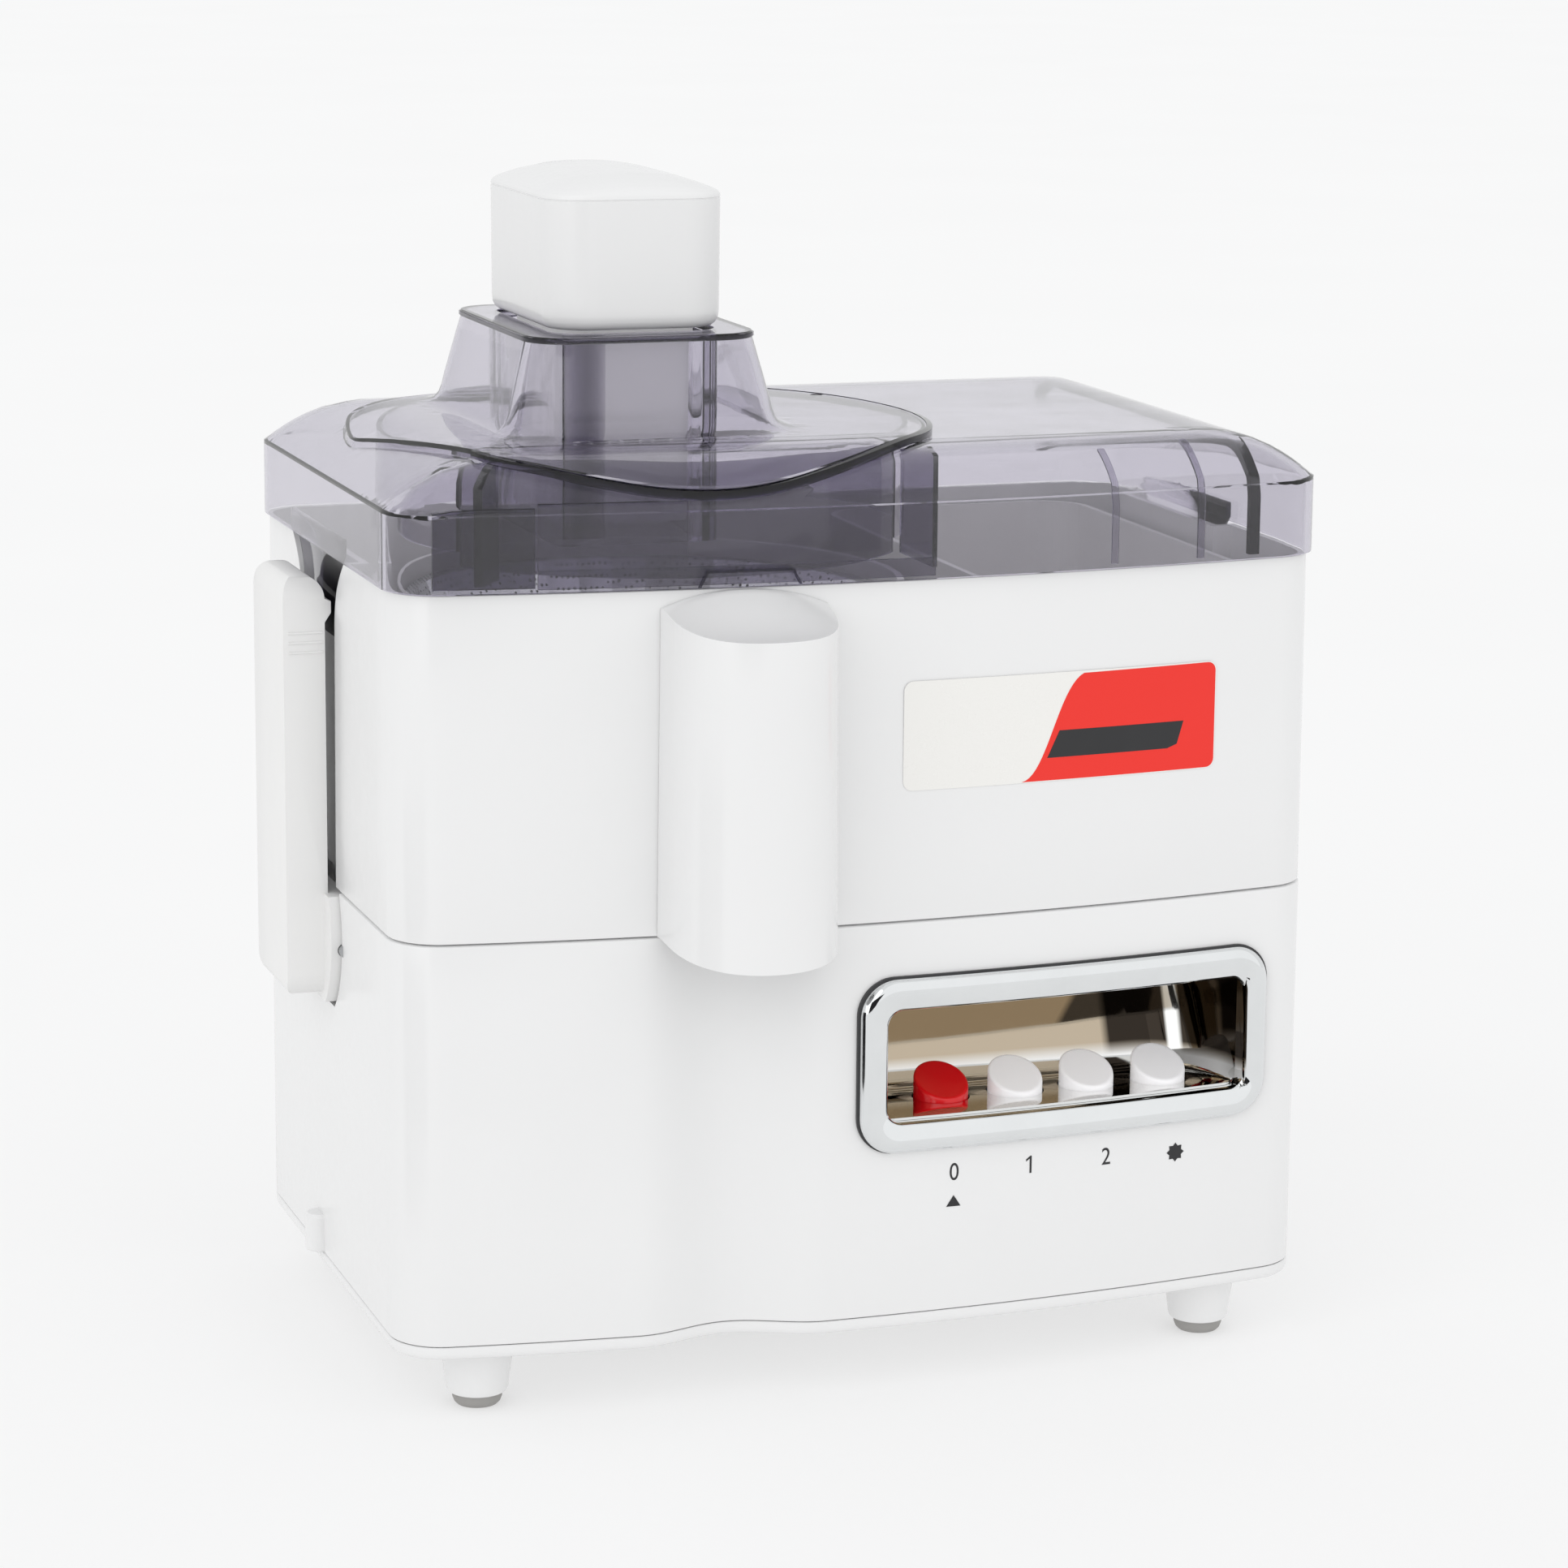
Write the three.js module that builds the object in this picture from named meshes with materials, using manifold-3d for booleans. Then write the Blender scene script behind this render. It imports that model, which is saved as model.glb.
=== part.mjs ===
// Centrifugal juicer: motor base, lift-off juice housing, smoky lid with feed chute, two side clamps.
// Millimetres, +Z up. The design is drawn about the body's own centre, and ORIGIN_SHIFT_Y moves it so
// that the origin is under the middle of the whole object's box, on the surface that it stands on.
import * as THREE from 'three';
import { mergeVertices } from 'three/addons/utils/BufferGeometryUtils.js';
import Module from 'manifold-3d';

const wasm = await Module();
wasm.setup();

// ---- driving dimensions ----
const ORIGIN_SHIFT_Y = 20.75;
const BODY_W = 300;              // across the two flat end faces
const CREASE_Y = 77.5;           // half length of a flat end face
const CORNER_R = 17;
const FRONT_R = 889;             // radius of the gently bowed front
const WALL = 3;
const BASE_Z = 20.7;
const COVER_TOP_Z = 24.9;
const SEAM_Z = 151;
const HOUSING_TOP_Z = 257;
const LID_BOTTOM_Z = 257.4;
const LID_EDGE_Z = 281.1;
const LID_RISE = 14.4;
const LID_WALL = 2.2;
const LID_OVERHANG = 0.7;        // how far the lid's edge stands out past the body
const STEP_UP = 2.3;             // height of the lid's raised area
const GAP = 0.3;
const SCOOP_X = -47;
const SCOOP_HALF = 30;
const SCOOP_DEPTH = 8;
const FOOT_X = 121.6;
const FOOT_Y = 75.4;
const DRIVE_X = -46;             // axis of motor and basket
const SPOUT_X = -45;
const ARM_Y = 10.4;              // middle of the clamp arms
const ARM_W = 42;
const HINGE_X = 149;
const HINGE_Z = 133;
const PIN_R = 2;
const SEAL_R = 16;
const GLAND_R = 5.9;
const CORD_R = 3.4;
const CHUTE_X = -60;
const CHUTE_Y = -5;
const PANEL = { x0: -7.8, x1: 133.1, z0: 77.8, z1: 133.6, r: 12 };
const WINDOW = { x0: 1.5, x1: 125.2, z0: 87.1, z1: 123.4, r: 5 };
const BUTTON_X = [27.9, 53, 77.3, 102];
const BUTTON_Y = -82.5;
const BUTTON_R = 8.7;
const BUTTON_MID_Z = 93.7;       // height of a button's sloping top at its middle
const BUTTON_SLOPE = 0.55;
const BUTTON_TRAVEL = 4;
const TRAY_FLOOR_Z = 88;
const TRAY_CEILING_Z = 122.4;
const DISC_X = -46;              // middle of the lid's round collar
const DISC_Y = -2;
const VENT = { x: 20, y: 21, r: 2 };

// ---- materials ----
const material = (color, roughness = 0.35, metalness = 0, opacity = 1) =>
  new THREE.MeshStandardMaterial({ color, roughness, metalness, opacity, transparent: opacity < 1 });
const white = () => material(0xf1f1ef, 0.28);
const smoke = () => material(0x6f6a7c, 0.12, 0, 0.45);
const steel = () => material(0xb8bcc0, 0.3, 0.9);
const chrome = () => material(0xe8eaec, 0.06, 1);
const rubber = () => material(0x77787a, 0.8);
const darkPlastic = () => material(0x2a2b2d, 0.5);
const copper = () => material(0xa8582a, 0.35, 0.8);

// ---- solids from three.js geometry ----
function solid(geometry) {
  const bare = geometry.clone();
  for (const name of ['normal', 'uv']) bare.deleteAttribute(name);
  const merged = mergeVertices(bare, 1e-4);
  const index = merged.index.array;
  return new wasm.Manifold(new wasm.Mesh({
    numProp: 3,
    vertProperties: new Float32Array(merged.attributes.position.array),
    triVerts: new Uint32Array(index),
  }));
}

const group = new THREE.Group();
group.position.y = ORIGIN_SHIFT_Y;

function place(name, body, look) {
  const data = body.getMesh();
  const geometry = new THREE.BufferGeometry();
  geometry.setAttribute('position', new THREE.BufferAttribute(new Float32Array(data.vertProperties), 3));
  geometry.setIndex(new THREE.BufferAttribute(new Uint32Array(data.triVerts), 1));
  geometry.computeVertexNormals();
  const mesh = new THREE.Mesh(geometry, look);
  mesh.name = name;
  group.add(mesh);
}

const join = (bodies) => bodies.reduce((sum, body) => sum.add(body));
const cut = (body, tools) => tools.reduce((left, tool) => left.subtract(tool), body);

// ---- simple shapes, given by their limits ----
function box(x0, x1, y0, y1, z0, z1) {
  const geometry = new THREE.BoxGeometry(x1 - x0, y1 - y0, z1 - z0);
  return solid(geometry.translate((x0 + x1) / 2, (y0 + y1) / 2, (z0 + z1) / 2));
}

function extrudeZ(shape, z0, z1, curveSegments = 8) {
  const options = { depth: z1 - z0, bevelEnabled: false, curveSegments };
  return solid(new THREE.ExtrudeGeometry(shape, options).translate(0, 0, z0));
}

// a shape drawn as (x, z), given its thickness along Y
function extrudeY(shape, y0, y1, curveSegments = 8) {
  const options = { depth: y1 - y0, bevelEnabled: false, curveSegments };
  return solid(new THREE.ExtrudeGeometry(shape, options).rotateX(Math.PI / 2).translate(0, y1, 0));
}

// a shape drawn as (y, z), given its length along X
function extrudeX(shape, x0, x1, curveSegments = 8) {
  const options = { depth: x1 - x0, bevelEnabled: false, curveSegments };
  const axes = new THREE.Matrix4().makeBasis(
    new THREE.Vector3(0, 1, 0),
    new THREE.Vector3(0, 0, 1),
    new THREE.Vector3(1, 0, 0),
  );
  return solid(new THREE.ExtrudeGeometry(shape, options).applyMatrix4(axes).translate(x0, 0, 0));
}

// a profile of [radius, z] pairs, starting and ending on the axis, turned about a vertical axis
function turned(profile, x, y, segments = 24) {
  const points = profile.map(([r, z]) => new THREE.Vector2(r, z));
  return solid(new THREE.LatheGeometry(points, segments).rotateX(Math.PI / 2).translate(x, y, 0));
}

// a ring, or any profile off the axis, which closes on itself
function turnedRing(profile, x, y, segments = 24) {
  return turned([...profile, profile[0]], x, y, segments);
}

const tube = (r0, r1, z0, z1, x, y, segments = 24) =>
  turnedRing([[r0, z0], [r1, z0], [r1, z1], [r0, z1]], x, y, segments);

const rod = (r, z0, z1, x, y, segments = 24) =>
  turned([[0, z0], [r, z0], [r, z1], [0, z1]], x, y, segments);

function rodAlongY(r, x, z, y0, y1, segments = 16) {
  const geometry = new THREE.CylinderGeometry(r, r, y1 - y0, segments);
  return solid(geometry.translate(x, (y0 + y1) / 2, z));
}

function roundedRect(x0, x1, y0, y1, r) {
  const shape = new THREE.Shape();
  shape.absarc(x1 - r, y0 + r, r, -Math.PI / 2, 0);
  shape.absarc(x1 - r, y1 - r, r, 0, Math.PI / 2);
  shape.absarc(x0 + r, y1 - r, r, Math.PI / 2, Math.PI);
  shape.absarc(x0 + r, y0 + r, r, Math.PI, 1.5 * Math.PI);
  shape.closePath();
  return shape;
}

// stacked level outlines with the same number of points, skinned and capped into one closed solid
function loft(rings) {
  const count = rings[0].length;
  const position = rings.flat().flatMap((p) => [p.x, p.y, p.z]);
  const index = [];
  for (let level = 0; level < rings.length - 1; level += 1) {
    for (let i = 0; i < count; i += 1) {
      const a = level * count + i;
      const b = level * count + ((i + 1) % count);
      index.push(a, b, b + count, a, b + count, a + count);
    }
  }
  const cap = (ring, start, flip) => {
    const flat = ring.map((p) => new THREE.Vector2(p.x, p.y));
    for (const [a, b, c] of THREE.ShapeUtils.triangulateShape(flat, [])) {
      index.push(...(flip ? [start + a, start + c, start + b] : [start + a, start + b, start + c]));
    }
  };
  cap(rings[0], 0, true);
  cap(rings[rings.length - 1], (rings.length - 1) * count, false);
  const geometry = new THREE.BufferGeometry();
  geometry.setAttribute('position', new THREE.Float32BufferAttribute(position, 3));
  geometry.setIndex(index);
  return solid(geometry);
}

const raise = (points, z) => points.map((p) => new THREE.Vector3(p.x, p.y, typeof z === 'number' ? z : z(p)));

// ---- the body's plan outline, drawn inside by an offset ----
const CORNER_X = BODY_W / 2 - CORNER_R;
const FRONT_CENTRE_Y = -CREASE_Y + Math.sqrt((FRONT_R - CORNER_R) ** 2 - CORNER_X ** 2);
const frontY = (x) => FRONT_CENTRE_Y - Math.sqrt(FRONT_R ** 2 - x * x);
const REAR_Y = CREASE_Y + CORNER_R;

const scoopAt = (x) => (Math.abs(x - SCOOP_X) < SCOOP_HALF
  ? (SCOOP_DEPTH / 2) * (1 + Math.cos((Math.PI * (x - SCOOP_X)) / SCOOP_HALF))
  : 0);

function arcPoints(cx, cy, r, from, to, steps) {
  const angle = (i) => from + ((to - from) * i) / steps;
  const indices = Array.from({ length: steps }, (_, i) => i);
  return indices.map((i) => new THREE.Vector2(cx + r * Math.cos(angle(i)), cy + r * Math.sin(angle(i))));
}

function outline(offset, { scoop = false, front = 24, rear = 1, ends = 1, corner = 4 } = {}) {
  const r = Math.max(CORNER_R - offset, 0.6);
  const cx = BODY_W / 2 - offset - r;
  const cy = REAR_Y - offset - r;
  const bow = Math.asin(cx / (FRONT_R - offset - r));
  const frontCentre = -cy + (FRONT_R - offset - r) * Math.cos(bow);
  const quarter = Math.PI / 2;
  const line = (x0, y0, x1, y1, steps) => Array.from({ length: steps }, (_, i) =>
    new THREE.Vector2(x0 + ((x1 - x0) * i) / steps, y0 + ((y1 - y0) * i) / steps));
  const frontArc = arcPoints(0, frontCentre, FRONT_R - offset, -quarter - bow, -quarter + bow, front);
  if (scoop) for (const p of frontArc) p.y += scoopAt(p.x);
  return [
    ...frontArc,
    ...arcPoints(cx, -cy, r, -quarter + bow, 0, corner),
    ...line(cx + r, -cy, cx + r, cy, ends),
    ...arcPoints(cx, cy, r, 0, quarter, corner),
    ...line(cx, cy + r, -cx, cy + r, rear),
    ...arcPoints(-cx, cy, r, quarter, 2 * quarter, corner),
    ...line(-cx - r, cy, -cx - r, -cy, ends),
    ...arcPoints(-cx, -cy, r, -2 * quarter, -quarter - bow, corner),
  ];
}

const SCOOPED = { scoop: true, front: 32 };

const block = (offset0, z0, offset1, z1, options) =>
  loft([raise(outline(offset0, options), z0), raise(outline(offset1, options), z1)]);

const mirrored = (body) => body.mirror([1, 0, 0]);

// ---- bottom cover with four foot stubs, and the rubber pads in them ----
const STUB_BOTTOM_Z = 4.2;
const PAD_R = 8;

function bottomCover() {
  const plate = loft([
    raise(outline(2, SCOOPED), BASE_Z),
    raise(outline(0.5, SCOOPED), BASE_Z + 0.8),
    raise(outline(0, SCOOPED), BASE_Z + 2),
    raise(outline(0, SCOOPED), COVER_TOP_Z),
  ]);
  const bodies = [plate];
  const sockets = [];
  for (const x of [-FOOT_X, FOOT_X]) {
    for (const y of [-FOOT_Y, FOOT_Y]) {
      const sole = STUB_BOTTOM_Z;
      const profile = [[0, sole], [8.9, sole], [9.8, 6], [11.75, BASE_Z + 1], [0, BASE_Z + 1]];
      bodies.push(turned(profile, x, y, 16));
      sockets.push(rod(PAD_R + GAP, STUB_BOTTOM_Z - 1, STUB_BOTTOM_Z + 4.6, x, y, 16));
    }
  }
  const vents = [-3, -2, -1, 0, 1, 2, 3].map((i) =>
    box(DRIVE_X + 9 * i - 2, DRIVE_X + 9 * i + 2, -26, 26, BASE_Z - 1, COVER_TOP_Z + 1));
  return cut(join(bodies), [...sockets, ...vents]);
}

place('bottom_cover', bottomCover(), white());
for (const [side, x] of [['left', -FOOT_X], ['right', FOOT_X]]) {
  for (const [end, y] of [['front', -FOOT_Y], ['rear', FOOT_Y]]) {
    const pad = turned([[0, 0], [6, 0], [7.3, 1.6], [PAD_R, 4], [PAD_R, 8.4], [0, 8.4]], x, y, 16);
    place(`foot_pad_${end}_${side}`, pad, rubber());
  }
}

// ---- motor base housing ----
const BASE_TOP_Z = SEAM_Z - GAP;
const DECK_Z = BASE_TOP_Z - 4;
const GLAND = { x: 96, z: 46 };
const LUG = { x: -150, y: 14, r: 5, top: 38 };

// the round pockets which the clamps' pivots sit in, and their walls, seen along X
const PIVOT_Z = 136;
const PIVOT_R = 30;
const POCKET = { x: 138.5, z: 112.2, r: PIVOT_R + 1, wall: 2.4 };

function pivotShape(radius, low, high, steps = 10) {
  const points = [];
  for (let i = 0; i <= steps; i += 1) {
    const z = low + ((high - low) * i) / steps;
    points.push(new THREE.Vector2(Math.sqrt(radius ** 2 - (z - PIVOT_Z) ** 2), z));
  }
  const right = points.map((p) => new THREE.Vector2(ARM_Y + p.x, p.y));
  const left = points.map((p) => new THREE.Vector2(ARM_Y - p.x, p.y));
  return new THREE.Shape([...right, ...left.reverse()]);
}

function clampPocket() {
  return extrudeX(pivotShape(POCKET.r, POCKET.z, SEAM_Z + 1), -BODY_W / 2 - 10, -POCKET.x);
}

function clampPocketWalls() {
  const shape = pivotShape(POCKET.r + POCKET.wall, POCKET.z - POCKET.wall, DECK_Z + 1);
  return extrudeX(shape, -BODY_W / 2 + 1, -POCKET.x + POCKET.wall);
}

function baseHousing() {
  const shell = cut(block(0, COVER_TOP_Z + GAP, 0, BASE_TOP_Z, SCOOPED), [
    block(WALL, COVER_TOP_Z, WALL, DECK_Z, SCOOPED),
  ]);
  const lug = rod(LUG.r, COVER_TOP_Z + GAP, LUG.top, LUG.x, LUG.y);
  const pinReach = POCKET.r + 1.7;
  const pinHole = rodAlongY(PIN_R + 0.1, -HINGE_X, HINGE_Z, ARM_Y - pinReach, ARM_Y + pinReach);
  const added = [clampPocketWalls(), lug];
  const taken = [clampPocket(), pinHole];
  const window = box(WINDOW.x0 - 1.8, WINDOW.x1 + 1.8, -110, -85, TRAY_FLOOR_Z - 4, TRAY_CEILING_Z + 3.2);
  return cut(join([shell, ...added, ...added.map(mirrored)]), [
    ...taken,
    ...taken.map(mirrored),
    window,
    rod(SEAL_R, DECK_Z - 1, SEAM_Z + 1, DRIVE_X, 0),
    rodAlongY(GLAND_R + GAP, GLAND.x, GLAND.z, REAR_Y - 6, REAR_Y + 1),
  ]);
}

place('base_housing', baseHousing(), white());
place('cord_gland', join([
  rodAlongY(GLAND_R, GLAND.x, GLAND.z, REAR_Y - 8, REAR_Y + 1),
  rodAlongY(GLAND_R + 2.1, GLAND.x, GLAND.z, REAR_Y + GAP, REAR_Y + 2.5),
]).subtract(rodAlongY(CORD_R, GLAND.x, GLAND.z, REAR_Y - 9, REAR_Y + 4)), darkPlastic());

// ---- control panel: bezel, mirror tray, buttons, switch block, circuit breaker ----
// a closed band round the window. Each point of the section is [how far the band has come from its outer
// edge to the window, from 0 to 1, and how far it stands out of the bowed front]
const BEZEL_SECTION = [[0, 0.3], [0, 2], [0.09, 3.4], [0.26, 3.9], [0.6, 3.4], [0.95, 2], [1, 1.2], [1, 0.3]];
const BEZEL_SIDE_STEPS = 8;

// a panel's rounded rectangle as points, with its long sides divided so that they can follow the bow
function panelPath({ x0, x1, z0, z1, r }) {
  const quarter = Math.PI / 2;
  const bottom = z0 + r;
  const top = z1 - r;
  const left = x0 + r;
  const right = x1 - r;
  const side = (fromX, toX, z) => Array.from({ length: BEZEL_SIDE_STEPS }, (_, i) =>
    new THREE.Vector2(fromX + ((toX - fromX) * i) / BEZEL_SIDE_STEPS, z));
  return [
    ...arcPoints(right, bottom, r, -quarter, 0, 4),
    new THREE.Vector2(x1, bottom),
    ...arcPoints(right, top, r, 0, quarter, 4),
    ...side(right, left, z1),
    ...arcPoints(left, top, r, quarter, 2 * quarter, 4),
    new THREE.Vector2(x0, top),
    ...arcPoints(left, bottom, r, 2 * quarter, 3 * quarter, 4),
    ...side(left, right, z0),
  ];
}

function panelBezel() {
  const outer = panelPath(PANEL);
  const inner = panelPath(WINDOW);
  const count = outer.length;
  const rows = BEZEL_SECTION.length;
  const position = [];
  for (const [across, proud] of BEZEL_SECTION) {
    for (let i = 0; i < count; i += 1) {
      const p = new THREE.Vector2().lerpVectors(outer[i], inner[i], across);
      position.push(p.x, frontY(p.x) - proud, p.y);
    }
  }
  const index = [];
  for (let row = 0; row < rows; row += 1) {
    for (let i = 0; i < count; i += 1) {
      const [a, b] = [row * count + i, row * count + ((i + 1) % count)];
      const shift = row === rows - 1 ? -(rows - 1) * count : count;
      index.push(a, b, b + shift, a, b + shift, a + shift);
    }
  }
  const geometry = new THREE.BufferGeometry();
  geometry.setAttribute('position', new THREE.Float32BufferAttribute(position, 3));
  geometry.setIndex(index);
  return solid(geometry);
}

// the mirror recess: a flat floor, a back that leans away from the buttons, and a rounded ceiling
function trayBlock(grow) {
  const floor = TRAY_FLOOR_Z - grow;
  const ceiling = TRAY_CEILING_Z + grow;
  const profile = new THREE.Shape();
  profile.moveTo(-112, floor);
  profile.lineTo(-73.2 + grow, floor);
  profile.quadraticCurveTo(-68 + grow, floor, -65.5 + grow, TRAY_FLOOR_Z + 8.5);
  profile.lineTo(-58.5 + grow, TRAY_FLOOR_Z + 25.5);
  profile.quadraticCurveTo(-56 + grow, ceiling, -68.5, ceiling);
  profile.lineTo(-112, ceiling);
  profile.closePath();
  return extrudeX(profile, WINDOW.x0 + GAP - grow, WINDOW.x1 - GAP + grow);
}

function panelTray() {
  const holes = BUTTON_X.map((x) => rod(BUTTON_R + 0.4, 80, 96, x, BUTTON_Y));
  const wall = 1.4;
  return cut(trayBlock(wall).intersect(block(0.4, 60, 0.4, 140)), [trayBlock(0), ...holes]);
}

const SWITCH_TOP_Z = 78;

function pushButton(x) {
  const reach = 12;
  const cap = rod(BUTTON_R, SWITCH_TOP_Z + BUTTON_TRAVEL + 0.5, BUTTON_MID_Z + 8, x, BUTTON_Y, 28);
  const slope = new THREE.Shape();
  slope.moveTo(BUTTON_Y - reach, BUTTON_MID_Z - BUTTON_SLOPE * reach);
  slope.lineTo(BUTTON_Y + reach, BUTTON_MID_Z + BUTTON_SLOPE * reach);
  slope.lineTo(BUTTON_Y + reach, BUTTON_MID_Z + 20);
  slope.lineTo(BUTTON_Y - reach, BUTTON_MID_Z + 20);
  slope.closePath();
  const stem = rod(3, SWITCH_TOP_Z - 5, SWITCH_TOP_Z + 6, x, BUTTON_Y, 16);
  return cap.subtract(extrudeX(slope, x - reach, x + reach)).add(stem);
}

place('panel_bezel', panelBezel(), chrome());
place('panel_tray', panelTray(), chrome());
const RED = 0xc8121a;
const PALE = 0xf3f2f3;
const BUTTONS = [['button_off', RED], ['button_low', PALE], ['button_high', PALE], ['button_pulse', PALE]];
BUTTONS.forEach(([name, color], i) => place(name, pushButton(BUTTON_X[i]), material(color, 0.3)));

const plungerHoles = BUTTON_X.map((x) => rod(3.5, SWITCH_TOP_Z - 10, SWITCH_TOP_Z + 1, x, BUTTON_Y, 16));
place('switch_block', cut(box(14, 115, -91, -74, 54, SWITCH_TOP_Z), plungerHoles), darkPlastic());
place('circuit_breaker', join([
  rod(8, 30, 48, 24, -74),
  rod(3, 47, 52, 24, -74),
]), darkPlastic());
place('capacitor', box(84, 112, 10, 28, 40, 58), material(0xd9b23a, 0.5));

// ---- motor, from its lower bracket to the drive coupling ----
const motorRod = (r, z0, z1, segments = 24) => rod(r, z0, z1, DRIVE_X, 0, segments);
const motorTube = (r0, r1, z0, z1, segments = 24) => tube(r0, r1, z0, z1, DRIVE_X, 0, segments);
const SHAFT_R = 4;

const STATOR = { half: 36, bore: 22, z0: 76, z1: 110 };

function motorStator() {
  const { half, bore, z0, z1 } = STATOR;
  return box(DRIVE_X - half, DRIVE_X + half, -half, half, z0, z1).subtract(motorRod(bore, z0 - 6, z1 + 10));
}

place('motor_stator', motorStator(), steel());
for (const [name, side] of [['field_coil_front', -1], ['field_coil_rear', 1]]) {
  const coil = box(DRIVE_X - 24, DRIVE_X + 24, side * 29 - 5, side * 29 + 5, STATOR.z1 + 0.4, STATOR.z1 + 8);
  place(name, coil, copper());
}
place('armature', motorTube(SHAFT_R + GAP, STATOR.bore - 1.5, STATOR.z0 - 1, STATOR.z1 + 1), steel());
place('commutator', motorTube(SHAFT_R + GAP, 10, 58, 70), copper());
for (const [name, side] of [['carbon_brush_left', -1], ['carbon_brush_right', 1]]) {
  const x = DRIVE_X + side * 19.5;
  place(name, box(x - 9, x + 9, -3.5, 3.5, 60.5, 67.5), darkPlastic());
}
const BEARING_R = 9;
const POST_X = 39.5;
const bracket = (z0, z1) => box(DRIVE_X - 42, DRIVE_X + 42, -13, 13, z0, z1);
const posts = (z0, z1) => [-POST_X, POST_X].map((x) => rod(4, z0, z1, DRIVE_X + x, 0, 12));
const bearingSeat = (z0, z1) => motorRod(BEARING_R + GAP, z0 - 4, z1 + 4);
place('motor_bracket_lower',
  join([bracket(44, 48), ...posts(47, STATOR.z0 - 0.4)]).subtract(bearingSeat(44, 48)), steel());
place('motor_bracket_upper',
  join([bracket(134, 138), ...posts(STATOR.z1 + 0.5, 135)]).subtract(bearingSeat(134, 138)), steel());
place('bearing_lower', motorTube(SHAFT_R + 0.08, BEARING_R, 43, 49), steel());
place('bearing_upper', motorTube(SHAFT_R + 0.08, BEARING_R, 133, 139), steel());
place('motor_shaft', motorRod(SHAFT_R, 36, 170), steel());

const FAN = { r: 31, z0: 120, z1: 129, blades: 8 };

function coolingFan() {
  const hub = motorTube(SHAFT_R + GAP, 9, FAN.z0, FAN.z1);
  const plate = motorTube(8, FAN.r, FAN.z1 - 1.6, FAN.z1);
  const blades = Array.from({ length: FAN.blades }, (_, i) =>
    box(8, FAN.r - 1, -0.8, 0.8, FAN.z0, FAN.z1 - 1)
      .rotate([0, 0, (360 * i) / FAN.blades])
      .translate([DRIVE_X, 0, 0]));
  return join([hub, plate, ...blades]);
}

place('cooling_fan', coolingFan(), darkPlastic());
place('shaft_seal', motorTube(SHAFT_R + 0.5, SEAL_R - GAP, DECK_Z + 0.2, BASE_TOP_Z - 0.2), darkPlastic());
for (const [name, side] of [['motor_mount_left', -1], ['motor_mount_right', 1]]) {
  place(name, rod(6, COVER_TOP_Z + 0.4, 43.6, DRIVE_X + side * POST_X, 0, 16), rubber());
}

// splined driver on the shaft
function driveCoupling() {
  const z0 = 156;
  const z1 = 169;
  const splines = Array.from({ length: 6 }, (_, i) =>
    box(7, 10, -1.2, 1.2, z0, z1).rotate([0, 0, i * 60]).translate([DRIVE_X, 0, 0]));
  return join([motorTube(SHAFT_R + GAP, 8, z0, z1), ...splines]);
}

place('drive_coupling', driveCoupling(), darkPlastic());

// ---- juice housing: outer skin with the spout, and the round bowl in it ----
const HOUSING_BOTTOM_Z = SEAM_Z + GAP;
const HOUSING_FLOOR_Z = HOUSING_BOTTOM_Z + 3;
const RECESS_X = 142.5;
const RECESS_HALF = 22.3;
const SPOUT_HALF = 27;
const SPOUT_NOSE_Y = -138.5;
const SPOUT_BOTTOM_Z = 146;
const SPOUT_PEAK_Z = 256.4;      // top of the arch where the spout meets the body
const SPOUT_SHOULDER_Z = 249;
const SPOUT_NOSE_Z = 246;
const MOUTH = { half: 13, z0: 180, z1: 212 };

// the spout cover's plan: flat cheeks that leave the front face, closed by a round nose
function spoutPlan(inset) {
  const half = SPOUT_HALF - inset;
  const nose = SPOUT_NOSE_Y + inset;
  const shape = new THREE.Shape();
  shape.moveTo(SPOUT_X - half, -96);
  shape.lineTo(SPOUT_X - half + 1, -113);
  shape.bezierCurveTo(SPOUT_X - half + 3, nose + 6, SPOUT_X - 12, nose, SPOUT_X, nose);
  shape.bezierCurveTo(SPOUT_X + 12, nose, SPOUT_X + half - 3, nose + 6, SPOUT_X + half - 1, -113);
  shape.lineTo(SPOUT_X + half, -96);
  shape.closePath();
  return shape;
}

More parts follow.
